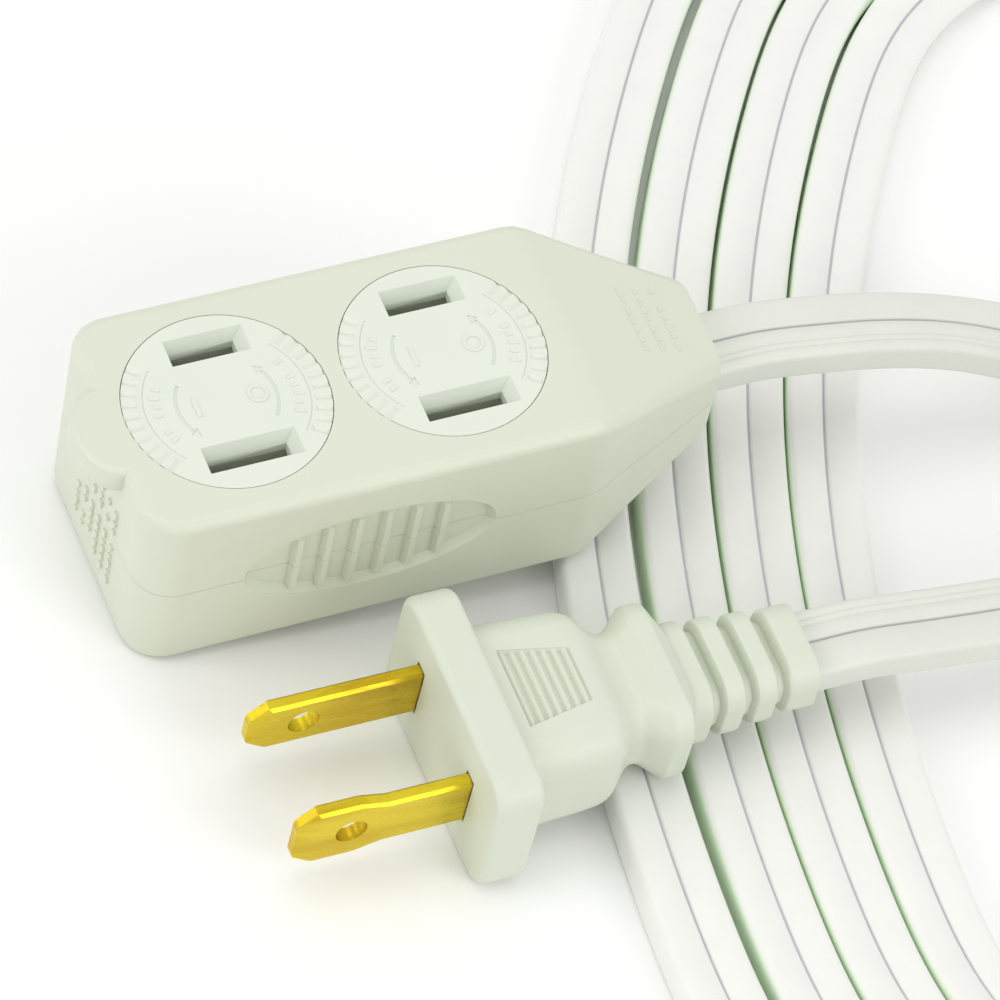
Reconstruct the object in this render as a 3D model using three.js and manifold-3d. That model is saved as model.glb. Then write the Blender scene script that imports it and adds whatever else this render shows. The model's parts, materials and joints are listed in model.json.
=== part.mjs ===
// Indoor extension cord: a flat twin-lead cord with a moulded two-blade plug on one end and a
// three-outlet tap with rotary safety covers on the other, lying as it does on a table.
// Millimetres, +Z up, origin on the table below the middle of the tap, +X from the tap's closed
// end to its cord end.
import * as THREE from 'three';
import { mergeVertices } from 'three/addons/utils/BufferGeometryUtils.js';
import Module from 'manifold-3d';

// ---- driving dimensions ------------------------------------------------------------------
const GAP = 0.3;                 // clearance between neighbouring pieces
const BLADE_SPACING = 12.7;      // standard two-blade spacing
const BLADE_THICK = 1.5;
const BLADE_WIDTH = 6.35;
const BLADE_WIDE = 7.9;          // head of the neutral blade
const BLADE_LENGTH = 17.5;       // from the plug's face to the tip
const BLADE_HOLE = 3.2;
const BLADE_HOLE_AT = 11.8;      // from the plug's face
const BLADE_TIP_CUT = [1.9, 1.5]; // corner taken off the tip, along and across
const BLADE_TAIL = [4.2, 2.4];   // crimping tail inside the plug, its length and height

const CORD_WIDTH = 7.5;
const CORD_THICK = 3.7;
const LEAD = 3.4;                // one insulated lead of the cord, split from its twin
const STRANDS = 1.6;             // stranded copper conductor

const TAP_WIDTH = 26;
const TAP_HEIGHT = 22;
const NOSE_LENGTH = 16;
const NOSE_END_WIDTH = 11.5;
const NOSE_TOP_DROP = 5;
const NOSE_RISE = 4.5;           // how far the underside comes up at the cord
const TAP_CORNER = 4;            // plan radius of the closed end's corners
const TAP_EDGE = 1.2;            // bevel of the long edges
const TAP_WALL = 2.2;
const TAB_RADIUS = 5.2;          // thumb tab on the closed end
const TAB_REACH = 3.6;
const TAB_THICK = 3.4;

const DISC_DIAMETER = 20.2;      // rotary cover of an outlet
const END_MARGIN = 2;            // from the closed end to the rim of the first cover
const DISC_WEB = 1.9;            // between the rims of the two covers on top
const NOSE_MARGIN = 2.2;         // from the rim of the second cover to where the nose begins
const DISC_THICK = 2.4;
const POCKET_FLOOR = 1.5;
const HUB_DIAMETER = 4;
const HUB_HEAD = 5.4;
const HUB_HEAD_THICK = 1.2;
const SLOT_LINE = 6.9;           // slot lengths and width in the covers
const SLOT_NEUTRAL = 8.4;
const SLOT_WIDTH = 2.2;

const GRIP_LENGTH = 26;          // oval finger recess on each side of the tap
const GRIP_HEIGHT = 11.6;
const GRIP_DEPTH = 0.8;
const GRIP_RIBS = 6;
const GRIP_PITCH = 3;
const GRIP_RIB = 1.1;

const CONTACT_THICK = 0.6;
const CONTACT_CLIP = 7;          // length of a clip along the strip
const CONTACT_HEIGHT = 9;

const FLANGE_WIDTH = 25.5;
const FLANGE_HEIGHT = 16;
const FLANGE_THICK = 4.8;
const FLANGE_CORNER = 2.6;
const PLUG_BODY_WIDTH = 17.4;
const PLUG_BODY_HEIGHT = 12.6;
const PLUG_BODY_END = 14.2;      // stations along the plug, from its face
const PLUG_NECK_AT = 17.4;
const PLUG_COLLAR_AT = 20.8;
const PLUG_COLLAR_END = 22.6;
const RELIEF_START = 23.6;
const PLUG_LENGTH = 37.6;
const COLLAR_WIDTH = 15.4;
const COLLAR_HEIGHT = 10.8;
const NECK_WIDTH = 12;
const NECK_HEIGHT = 8.8;
const RELIEF_WIDTH = 10.8;
const RELIEF_HEIGHT = 8;
const RELIEF_END_WIDTH = 9.8;
const RELIEF_END_HEIGHT = 7;
const RELIEF_SEGMENTS = 4;
const CORE_WIDTH = 15.6;
const CORE_HEIGHT = 9.6;
const CORE_START = 1.6;
const CORE_LENGTH = 4.6;

// The coil: four turns side by side, flat on the left, standing on edge elsewhere.
const TURNS = 4;
const FLAT_PITCH = 8.15;
const EDGE_PITCH = 3.9;
const ARC_CENTRE = [206.8, -66.4];
const ARC_RADIUS = 168.9;        // centreline of the innermost turn, on the flat stretch
const ARC_ANGLE = 40.5;
const BEND_RADIUS = 30.6;        // innermost turn at the ends of the coil
const RIGHT_SLANT = 19;          // lean of the far side, in degrees
const TWIST_LENGTH = 36;         // over which a turn goes from flat to on edge
const TIE_WIDTH = 9;
const TIE_THICK = 0.9;

const PLUG_FACE = [-5.4, -32.4]; // middle of the plug's face on the table

// ---- values worked out from them -----------------------------------------------------------
const OUTLET_1 = END_MARGIN + DISC_DIAMETER / 2;   // outlet centres, from the closed end
const OUTLET_2 = OUTLET_1 + DISC_DIAMETER + DISC_WEB;
const TAP_BODY = OUTLET_2 + DISC_DIAMETER / 2 + NOSE_MARGIN;
const TAP_LENGTH = TAP_BODY + NOSE_LENGTH;
const POCKET_DEPTH = DISC_THICK + GAP;
const DECK = POCKET_DEPTH + POCKET_FLOOR;
const PARTING = TAP_HEIGHT / 2;
const CORD_LEVEL = (TAP_HEIGHT - NOSE_TOP_DROP + NOSE_RISE) / 2;
const OUTLETS_TOP = [OUTLET_1, OUTLET_2];
const OUTLET_UNDER = (OUTLET_1 + OUTLET_2) / 2;
const BLADE_Y = BLADE_SPACING / 2;
const LEAD_Y = (LEAD + GAP) / 2 + 0.05;
const OUTER_RADIUS = ARC_RADIUS + (TURNS - 1) * FLAT_PITCH;
const TIED_WIDTH = (TURNS - 2) * EDGE_PITCH + CORD_THICK;

const radians = THREE.MathUtils.degToRad;

// ---- helpers ---------------------------------------------------------------------------------
const wasm = await Module();
wasm.setup();

function toSolid(geometry) {
  const bare = geometry.clone();
  bare.deleteAttribute('normal');
  bare.deleteAttribute('uv');
  const merged = mergeVertices(bare, 1e-4);
  return new wasm.Manifold(new wasm.Mesh({
    numProp: 3,
    vertProperties: new Float32Array(merged.attributes.position.array),
    triVerts: new Uint32Array(merged.index.array),
  }));
}

function toGeometry(solid) {
  const { vertProperties, triVerts } = solid.getMesh();
  const geometry = new THREE.BufferGeometry();
  geometry.setAttribute('position', new THREE.Float32BufferAttribute(vertProperties, 3));
  geometry.setIndex(Array.from(triVerts));
  geometry.computeVertexNormals();
  return geometry;
}

function box(x0, x1, y0, y1, z0, z1) {
  const shape = new THREE.BoxGeometry(x1 - x0, y1 - y0, z1 - z0);
  return shape.translate((x0 + x1) / 2, (y0 + y1) / 2, (z0 + z1) / 2);
}

function cylinderZ(radius, x, y, z0, z1, sides = 32) {
  const shape = new THREE.CylinderGeometry(radius, radius, z1 - z0, sides);
  return shape.rotateX(Math.PI / 2).translate(x, y, (z0 + z1) / 2);
}

function cylinderY(radius, x, y0, y1, z, sides = 24) {
  return new THREE.CylinderGeometry(radius, radius, y1 - y0, sides).translate(x, (y0 + y1) / 2, z);
}

function cylinderX(radius, x0, x1, y, z, sides = 12) {
  const shape = new THREE.CylinderGeometry(radius, radius, x1 - x0, sides);
  return shape.rotateZ(Math.PI / 2).translate((x0 + x1) / 2, y, z);
}

// A shape drawn in X and Y, given height along Z.
function prismZ(shape, z0, z1, bevel = 0) {
  const geometry = new THREE.ExtrudeGeometry(shape, {
    depth: z1 - z0 - 2 * bevel,
    curveSegments: 6,
    bevelEnabled: bevel > 0,
    bevelThickness: bevel,
    bevelSize: bevel,
    bevelOffset: -bevel,
    bevelSegments: 2,
  });
  return geometry.translate(0, 0, z0 + bevel);
}

// A shape drawn in X and Z, given depth along Y.
function prismY(shape, y0, y1) {
  const geometry = new THREE.ExtrudeGeometry(shape, { depth: y1 - y0, bevelEnabled: false, curveSegments: 6 });
  return geometry.rotateX(Math.PI / 2).translate(0, y1, 0);
}

function polygon(points) {
  return new THREE.Shape(points.map(([x, y]) => new THREE.Vector2(x, y)));
}

// Points of a rounded rectangle centred on the axis, anticlockwise.
function roundedSection(width, height, radius, perCorner = 4) {
  const points = [];
  for (let corner = 0; corner < 4; corner += 1) {
    const sx = corner === 0 || corner === 3 ? 1 : -1;
    const sy = corner < 2 ? 1 : -1;
    for (let i = 0; i <= perCorner; i += 1) {
      const angle = (corner + i / perCorner) * Math.PI / 2;
      points.push([
        sx * (width / 2 - radius) + radius * Math.cos(angle),
        sy * (height / 2 - radius) + radius * Math.sin(angle),
      ]);
    }
  }
  return points;
}

// A closed skin over sections { x, width, height, radius } set along X.
function loftX(sections) {
  const rings = sections.map((s) => roundedSection(s.width, s.height, s.radius));
  const count = rings[0].length;
  const positions = [];
  rings.forEach((ring, i) => ring.forEach(([y, z]) => positions.push(sections[i].x, y, z)));
  const index = [];
  for (let i = 0; i + 1 < rings.length; i += 1) {
    for (let j = 0; j < count; j += 1) {
      const a = i * count + j;
      const b = i * count + (j + 1) % count;
      index.push(a, b, a + count, b, b + count, a + count);
    }
  }
  const last = (rings.length - 1) * count;
  for (let j = 1; j + 1 < count; j += 1) {
    index.push(0, j + 1, j);
    index.push(last, last + j, last + j + 1);
  }
  const geometry = new THREE.BufferGeometry();
  geometry.setAttribute('position', new THREE.Float32BufferAttribute(positions, 3));
  geometry.setIndex(index);
  return geometry;
}

function joined(geometries) {
  return geometries.map(toSolid).reduce((sum, part) => sum.add(part));
}

// A tube along a smooth curve; the section is an ellipse, its width lying level.
function tube(points, width, thick, sides, steps) {
  const section = new THREE.Shape();
  for (let i = 0; i < sides; i += 1) {
    const angle = 2 * Math.PI * (i + 0.5) / sides;
    const x = width / 2 * Math.cos(angle);
    const y = thick / 2 * Math.sin(angle);
    if (i === 0) section.moveTo(x, y);
    else section.lineTo(x, y);
  }
  section.closePath();
  const path = new THREE.CatmullRomCurve3(points.map((p) => new THREE.Vector3(...p)), false, 'centripetal');
  return new THREE.ExtrudeGeometry(section, { steps, extrudePath: path, bevelEnabled: false });
}

function material(color, roughness, metalness = 0) {
  return new THREE.MeshStandardMaterial({ color, roughness, metalness });
}

const IVORY = material(0xe9ece0, 0.45);
const COVER_WHITE = material(0xe8eee4, 0.4);
const PLUG_IVORY = material(0xe0e8d8, 0.5);
const CORD_WHITE = material(0xf2f3ec, 0.5);
const BRASS = material(0xc9a63a, 0.3, 1);
const COPPER = material(0xb87333, 0.35, 1);
const CORE_NYLON = material(0xd8d6cc, 0.6);
const TIE_BLACK = material(0x2b2b2b, 0.7);

function piece(name, shape, finish) {
  const geometry = shape.isBufferGeometry ? shape : toGeometry(shape);
  const mesh = new THREE.Mesh(geometry, finish);
  mesh.name = name;
  return mesh;
}

// ---- the tap ---------------------------------------------------------------------------------
function tapPlan() {
  const half = TAP_WIDTH / 2;
  const noseHalf = NOSE_END_WIDTH / 2;
  const plan = new THREE.Shape();
  plan.moveTo(TAP_CORNER, -half);
  plan.lineTo(TAP_BODY, -half);
  plan.lineTo(TAP_LENGTH, -noseHalf);
  plan.lineTo(TAP_LENGTH, noseHalf);
  plan.lineTo(TAP_BODY, half);
  plan.lineTo(TAP_CORNER, half);
  plan.absarc(TAP_CORNER, half - TAP_CORNER, TAP_CORNER, Math.PI / 2, Math.PI, false);
  plan.lineTo(0, TAP_CORNER - half);
  plan.absarc(TAP_CORNER, TAP_CORNER - half, TAP_CORNER, Math.PI, 1.5 * Math.PI, false);
  return plan;
}

function tapProfile() {
  return polygon([
    [-TAP_CORNER, -1], [TAP_BODY, -1], [TAP_BODY, 0], [TAP_LENGTH + 1, NOSE_RISE * (1 + 1 / NOSE_LENGTH)],
    [TAP_LENGTH + 1, TAP_HEIGHT - NOSE_TOP_DROP * (1 + 1 / NOSE_LENGTH)],
    [TAP_BODY, TAP_HEIGHT], [TAP_BODY, TAP_HEIGHT + 1], [-TAP_CORNER, TAP_HEIGHT + 1],
  ]);
}

function thumbTab() {
  const round = cylinderZ(TAB_RADIUS, 0, 0, 0, TAB_THICK, 28);
  round.scale(TAB_REACH / TAB_RADIUS, 1, 1);
  return round.translate(GAP, 0, TAP_HEIGHT - TAB_THICK);
}

function tapCavity() {
  const half = TAP_WIDTH / 2 - TAP_WALL;
  const throat = CORD_WIDTH / 2 + GAP;
  const inside = TAP_LENGTH - TAP_WALL;
  const level = CORD_THICK / 2 + GAP;
  const plan = prismZ(polygon([
    [TAP_WALL, -half], [TAP_BODY - TAP_WALL, -half], [inside, -throat],
    [inside, throat], [TAP_BODY - TAP_WALL, half], [TAP_WALL, half],
  ]), 0, TAP_HEIGHT);
  const profile = prismY(polygon([
    [0, DECK], [TAP_BODY - TAP_WALL, DECK], [inside, CORD_LEVEL - level],
    [inside, CORD_LEVEL + level], [TAP_BODY - TAP_WALL, TAP_HEIGHT - DECK], [0, TAP_HEIGHT - DECK],
  ]), -TAP_WIDTH, TAP_WIDTH);
  const exit = box(inside - 1, TAP_LENGTH + 2, -throat, throat, CORD_LEVEL - level, CORD_LEVEL + level);
  return toSolid(plan).intersect(toSolid(profile)).add(toSolid(exit));
}

// Pocket for a cover disc, the blade openings in its floor and the hole for the disc's hub.
// "up" is +1 for an outlet in the top face and -1 for the one in the underside.
function outletPocket(x, up) {
  const face = up > 0 ? TAP_HEIGHT : 0;
  const at = (depth) => face - up * depth;
  const span = (d0, d1) => [Math.min(at(d0), at(d1)), Math.max(at(d0), at(d1))];
  const length = (slot) => slot / 2 + GAP;
  const across = SLOT_WIDTH / 2 + GAP;
  const through = span(POCKET_DEPTH - 0.5, DECK + 0.5);
  return joined([
    cylinderZ(DISC_DIAMETER / 2 + GAP, x, 0, ...span(-1, POCKET_DEPTH), 40),
    cylinderZ(HUB_DIAMETER / 2 + GAP, x, 0, ...through, 20),
    box(x - length(SLOT_LINE), x + length(SLOT_LINE), BLADE_Y - across, BLADE_Y + across, ...through),
    box(x - length(SLOT_NEUTRAL), x + length(SLOT_NEUTRAL), -BLADE_Y - across, across - BLADE_Y, ...through),
  ]);
}

// Oval finger recess with upright ribs, on the side y = side * half width.
function gripRecess(side) {
  const middle = OUTLET_UNDER;
  const oval = new THREE.Shape();
  oval.absellipse(middle, PARTING, GRIP_LENGTH / 2, GRIP_HEIGHT / 2, 0, 2 * Math.PI, false, 0);
  const wall = TAP_WIDTH / 2;
  const [y0, y1] = side > 0 ? [wall - GRIP_DEPTH, wall + 1] : [-wall - 1, GRIP_DEPTH - wall];
  let recess = toSolid(prismY(oval, y0, y1));
  for (let i = 0; i < GRIP_RIBS; i += 1) {
    const x = middle + (i - (GRIP_RIBS - 1) / 2) * GRIP_PITCH;
    recess = recess.subtract(toSolid(box(x - GRIP_RIB / 2, x + GRIP_RIB / 2, -wall, wall, 0, TAP_HEIGHT)));
  }
  return recess;
}

function tapForm() {
  let form = toSolid(prismZ(tapPlan(), 0, TAP_HEIGHT, TAP_EDGE));
  form = form.intersect(toSolid(prismY(tapProfile(), -TAP_WIDTH, TAP_WIDTH)));
  form = form.add(toSolid(thumbTab())).subtract(tapCavity());
  for (const x of OUTLETS_TOP) form = form.subtract(outletPocket(x, 1));
  form = form.subtract(outletPocket(OUTLET_UNDER, -1));
  for (const side of [-1, 1]) form = form.subtract(gripRecess(side));
  return form;
}

function tapShells() {
  const form = tapForm();
  const half = (z0, z1) => toSolid(box(-TAP_WIDTH, TAP_LENGTH + TAP_WIDTH, -TAP_WIDTH, TAP_WIDTH, z0, z1));
  return [
    piece('tap_top_shell', form.intersect(half(PARTING + GAP / 2, TAP_HEIGHT + 1)), IVORY),
    piece('tap_bottom_shell', form.intersect(half(-1, PARTING - GAP / 2)), IVORY),
  ];
}

// Rotary cover: a disc with two slots, on a hub that snaps through the pocket's floor.
// Drawn face up around the disc's own axis, its face at z = 0.
function coverDisc() {
  const floor = POCKET_DEPTH + POCKET_FLOOR;
  const solid = joined([
    cylinderZ(DISC_DIAMETER / 2, 0, 0, -DISC_THICK, 0, 40),
    cylinderZ(HUB_DIAMETER / 2, 0, 0, -floor - GAP - HUB_HEAD_THICK / 2, -DISC_THICK / 2, 20),
    cylinderZ(HUB_HEAD / 2, 0, 0, -floor - GAP - HUB_HEAD_THICK, -floor - GAP, 20),
  ]);
  const across = SLOT_WIDTH / 2;
  const depth = [-DISC_THICK - 0.05, 1];
  return solid
    .subtract(toSolid(box(-SLOT_LINE / 2, SLOT_LINE / 2, BLADE_Y - across, BLADE_Y + across, ...depth)))
    .subtract(toSolid(box(-SLOT_NEUTRAL / 2, SLOT_NEUTRAL / 2, -BLADE_Y - across, across - BLADE_Y, ...depth)));
}

function coverDiscs() {
  const discs = OUTLETS_TOP.map((x, i) => {
    const disc = piece(`cover_disc_${i + 1}`, coverDisc(), COVER_WHITE);
    disc.position.set(x, 0, TAP_HEIGHT);
    return disc;
  });
  const under = piece('cover_disc_3', toGeometry(coverDisc()).scale(1, 1, -1), COVER_WHITE);
  const index = under.geometry.index.array;
  for (let i = 0; i < index.length; i += 3) [index[i], index[i + 1]] = [index[i + 1], index[i]];
  under.geometry.computeVertexNormals();
  under.position.set(OUTLET_UNDER, 0, 0);
  return [...discs, under];
}

// Brass strip along one side of the tap: a rail with a spring clip for each outlet and a tab
// for the wire at the cord end. "side" is +1 for the line blades and -1 for the neutral ones.
function contactStrip(side) {
  const rail = BLADE_Y + BLADE_THICK / 2 + GAP;
  const leaf = BLADE_Y - BLADE_THICK / 2 - GAP;
  const middle = PARTING;
  const low = middle - CONTACT_HEIGHT / 2;
  const high = middle + CONTACT_HEIGHT / 2;
  const start = OUTLETS_TOP[0] - CONTACT_CLIP / 2;
  const end = OUTLETS_TOP[1] + CONTACT_CLIP / 2;
  const between = (y0, y1) => (side > 0 ? [y0, y1] : [-y1, -y0]);
  const parts = [
    box(start, end, ...between(rail, rail + CONTACT_THICK), low, high),
    box(end - 1, TAP_BODY, ...between(rail, rail + CONTACT_THICK), middle - 1.5, middle + 1.5),
  ];
  for (const [x, up] of [[OUTLETS_TOP[0], 1], [OUTLETS_TOP[1], 1], [OUTLET_UNDER, -1]]) {
    const foot = up > 0 ? [low, low + CONTACT_THICK] : [high - CONTACT_THICK, high];
    const x0 = x - CONTACT_CLIP / 2;
    const x1 = x + CONTACT_CLIP / 2;
    parts.push(box(x0, x1, ...between(leaf - CONTACT_THICK, rail + CONTACT_THICK), ...foot));
    parts.push(box(x0, x1, ...between(leaf - CONTACT_THICK, leaf), low, high));
  }
  return joined(parts);
}

function tapWiring() {
  const pieces = [];
  const weldY = BLADE_Y + BLADE_THICK / 2 - STRANDS / 2;
  const split = TAP_BODY;
  for (const [side, name] of [[1, 'line'], [-1, 'neutral']]) {
    pieces.push(piece(`${name}_contact_strip`, contactStrip(side), BRASS));
    pieces.push(piece(`tap_strands_${name}`,
      cylinderX(STRANDS / 2, TAP_BODY - 4, split, side * weldY, PARTING), COPPER));
    const lead = tube([
      [split + GAP, side * weldY, PARTING], [split + 1.5, side * (weldY - 0.3), PARTING],
      [TAP_LENGTH - 4, side * LEAD_Y, CORD_LEVEL], [TAP_LENGTH, side * LEAD_Y, CORD_LEVEL],
    ], LEAD, LEAD, 10, 8);
    pieces.push(piece(`tap_lead_${name}`, lead, CORD_WHITE));
  }
  return pieces;
}

// ---- the plug --------------------------------------------------------------------------------
function bladeOutline(head) {
  const root = BLADE_WIDTH / 2;
  const wide = head / 2;
  const [cut, drop] = BLADE_TIP_CUT;
  const flare = BLADE_HOLE / 2 - BLADE_HOLE_AT;
  const upper = [
    [CORE_START + CORE_LENGTH + 1.2, root], [flare, root], [-BLADE_HOLE_AT, wide],
    [cut - BLADE_LENGTH, wide], [-BLADE_LENGTH, wide - drop],
  ];
  return polygon([...upper, ...upper.toReversed().map(([x, z]) => [x, -z])]);
}

// Flat blade with a hole near its tip and a narrow tail that the strands are crimped to.
function blade(side, head) {
  const y0 = side * BLADE_Y - BLADE_THICK / 2;
  const y1 = y0 + BLADE_THICK;
  const tail = CORE_START + CORE_LENGTH + 1;
  return toSolid(prismY(bladeOutline(head), y0, y1))
    .add(toSolid(box(tail, tail + BLADE_TAIL[0], y0, y1, -BLADE_TAIL[1] / 2, BLADE_TAIL[1] / 2)))
    .subtract(toSolid(cylinderY(BLADE_HOLE / 2, -BLADE_HOLE_AT, y0 - 1, y1 + 1, 0)));
}

function plugCore() {
  let core = toSolid(box(CORE_START, CORE_START + CORE_LENGTH, -CORE_WIDTH / 2, CORE_WIDTH / 2,
    -CORE_HEIGHT / 2, CORE_HEIGHT / 2));
  for (const side of [-1, 1]) {
    const y = side * BLADE_Y;
    const across = BLADE_THICK / 2 + GAP;
    const up = BLADE_WIDTH / 2 + GAP;
    core = core.subtract(toSolid(box(0, PLUG_BODY_END, y - across, y + across, -up, up)));
  }
  return core;
}

// Sections of the moulding from its face to the cord: flange, body, neck, collar and the
// segmented strain relief.
function plugSections() {
  const section = (x, width, height, radius) => ({ x, width, height, radius });
  const soft = 0.7;
  const sections = [
    section(0, FLANGE_WIDTH - 2 * soft, FLANGE_HEIGHT - 2 * soft, FLANGE_CORNER - soft),
    section(soft, FLANGE_WIDTH, FLANGE_HEIGHT, FLANGE_CORNER),
    section(FLANGE_THICK - soft, FLANGE_WIDTH, FLANGE_HEIGHT, FLANGE_CORNER),
    section(FLANGE_THICK, FLANGE_WIDTH - 2 * soft, FLANGE_HEIGHT - 2 * soft, FLANGE_CORNER - soft),
    section(FLANGE_THICK + 0.1, PLUG_BODY_WIDTH + 1, PLUG_BODY_HEIGHT + 0.6, 3),
    section(PLUG_BODY_END, PLUG_BODY_WIDTH, PLUG_BODY_HEIGHT, 3),
    section(PLUG_NECK_AT, NECK_WIDTH, NECK_HEIGHT, 3),
    section(PLUG_NECK_AT + 1.2, NECK_WIDTH, NECK_HEIGHT, 3),
    section(PLUG_COLLAR_AT, COLLAR_WIDTH, COLLAR_HEIGHT, 3.4),
    section(PLUG_COLLAR_END, COLLAR_WIDTH, COLLAR_HEIGHT, 3.4),
    section(RELIEF_START, RELIEF_WIDTH, RELIEF_HEIGHT, 3),
  ];
  const pitch = (PLUG_LENGTH - RELIEF_START) / RELIEF_SEGMENTS;
  const groove = 1.1;
  for (let i = 0; i < RELIEF_SEGMENTS; i += 1) {
    const t = i / (RELIEF_SEGMENTS - 1);
    const width = THREE.MathUtils.lerp(RELIEF_WIDTH, RELIEF_END_WIDTH, t);
    const height = THREE.MathUtils.lerp(RELIEF_HEIGHT, RELIEF_END_HEIGHT, t);
    const start = RELIEF_START + i * pitch;
    if (i > 0) {
      sections.push(section(start, width - 1.4, height - 1.4, 2.3));
      sections.push(section(start + 0.3, width, height, 3));
    }
    const last = i === RELIEF_SEGMENTS - 1;
    sections.push(section(start + pitch - (last ? 0 : groove), width, height, 3));
    if (!last) sections.push(section(start + pitch - groove + 0.3, width - 1.4, height - 1.4, 2.3));
  }
  return sections;
}

function plugBody() {
  const across = BLADE_THICK / 2 + GAP;
  const coreEnd = CORE_START + CORE_LENGTH + GAP;
  const throat = CORD_WIDTH / 2 + GAP;
  const level = CORD_THICK / 2 + GAP;
  const wide = BLADE_Y + BLADE_THICK / 2 + GAP;
  const hollow = [
    box(CORE_START - GAP, coreEnd, -CORE_WIDTH / 2 - GAP, CORE_WIDTH / 2 + GAP,
      -CORE_HEIGHT / 2 - GAP, CORE_HEIGHT / 2 + GAP),
    box(coreEnd - 0.5, CORE_START + CORE_LENGTH + 1.2 + GAP, -wide, wide, -BLADE_WIDTH / 2 - GAP,
      BLADE_WIDTH / 2 + GAP),
    box(coreEnd - 0.5, PLUG_BODY_END - GAP, -wide, wide, -level, level),
    box(PLUG_BODY_END - 1, PLUG_LENGTH + 1, -throat, throat, -level, level),
  ];
  for (const side of [-1, 1]) {
    const y = side * BLADE_Y;
    hollow.push(box(-1, CORE_START, y - across, y + across, -BLADE_WIDTH / 2 - GAP, BLADE_WIDTH / 2 + GAP));
  }
  return toSolid(loftX(plugSections())).subtract(joined(hollow));
}

function plugWiring() {
  const pieces = [];
  const tail = CORE_START + CORE_LENGTH + 1;
  const inner = BLADE_Y - BLADE_THICK / 2 - GAP - STRANDS / 2;
  const split = tail + 2.2;
  for (const [side, name, head] of [[1, 'line', BLADE_WIDTH], [-1, 'neutral', BLADE_WIDE]]) {
    pieces.push(piece(`plug_blade_${name}`, blade(side, head), BRASS));
    pieces.push(piece(`plug_strands_${name}`,
      cylinderX(STRANDS / 2, tail, split, side * inner, 0), COPPER));
    const lead = tube([
      [split + GAP, side * (inner - 0.6), 0], [PLUG_BODY_END - 1.4, side * (LEAD_Y + 0.35), 0],
      [RELIEF_START, side * LEAD_Y, 0], [PLUG_LENGTH, side * LEAD_Y, 0],
    ], LEAD, LEAD, 10, 8);
    pieces.push(piece(`plug_lead_${name}`, lead, CORD_WHITE));
  }
  return pieces;
}

// ---- the cord --------------------------------------------------------------------------------
// The innermost turn as right-hand arcs and straights, from the foot of the flat stretch:
// [radius or length, turn in radians], a turn of 0 being a straight.
function coilOutline() {
  const bend = BEND_RADIUS;
  const slant = radians(RIGHT_SLANT);
  const arc = radians(ARC_ANGLE);
  const foot = [ARC_CENTRE[0] - ARC_RADIUS, ARC_CENTRE[1]];
  const top = [
    ARC_CENTRE[0] - (ARC_RADIUS - bend) * Math.cos(arc),
    ARC_CENTRE[1] + (ARC_RADIUS - bend) * Math.sin(arc),
  ];
  const downFrom = [top[0] + bend * Math.cos(slant), top[1] - bend * Math.sin(slant)];
  const corner = [foot[0] + bend, foot[1] - bend];
  const down = (downFrom[1] - corner[1] - bend * (1 - Math.sin(slant))) / Math.cos(slant);
  const across = downFrom[0] - down * Math.sin(slant) - bend * Math.cos(slant) - corner[0];
  const runs = [
    [ARC_RADIUS, arc], [bend, Math.PI - arc + slant], [down, 0],
    [bend, Math.PI / 2 - slant], [across, 0], [bend, Math.PI / 2],
  ];
  return { foot, top, runs };
}

// That outline moved outwards, by "flat" along the first arc and by "edge" along the rest, with
// a smooth change between the two. Each point carries how far it is from flat to on edge.
function coilLoop(flat, edge) {
  const { foot, runs } = coilOutline();
  const lengths = runs.map(([size, turn]) => (turn > 0 ? size * turn : size));
  const total = lengths.reduce((sum, length) => sum + length, 0);
  const points = [];
  let [x, y] = foot;
  let heading = Math.PI / 2;
  let gone = 0;
  runs.forEach(([size, turn], run) => {
    const steps = turn > 0 ? Math.ceil(lengths[run] / 7) : 1;
    const at = (angle) => (turn > 0
      ? [x + size * (Math.sin(heading) - Math.sin(angle)), y - size * (Math.cos(heading) - Math.cos(angle))]
      : [x + size * Math.cos(heading), y + size * Math.sin(heading)]);
    for (let i = 0; i < steps; i += 1) {
      const angle = heading - turn * i / steps;
      const [px, py] = turn > 0 ? at(angle) : [x, y];
      const s = gone + lengths[run] * i / steps;
      const away = Math.max(0, Math.min(s - lengths[0], total - s));
      const onEdge = THREE.MathUtils.smoothstep(away, 0, TWIST_LENGTH);
      const out = THREE.MathUtils.lerp(flat, edge, onEdge);
      points.push([px - out * Math.sin(angle), py + out * Math.cos(angle), onEdge]);
    }
    gone += lengths[run];
    [x, y] = at(heading - turn);
    heading -= turn;
  });
  return points;
}

// A block standing across the far side of the coil, where the tie goes: half sizes across and
// along the bundle, and its heights.
function tieBlock(across, along, z0, z1) {
  const slant = radians(RIGHT_SLANT);
  const { top, runs } = coilOutline();
  const out = BEND_RADIUS + (TURNS - 1) * EDGE_PITCH / 2;
  const down = runs[2][0] / 2;
  return toSolid(box(-across, across, -along, along, z0, z1).rotateZ(-slant).translate(
    top[0] + out * Math.cos(slant) - down * Math.sin(slant),
    top[1] - out * Math.sin(slant) - down * Math.cos(slant), 0,
  ));
}

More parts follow.
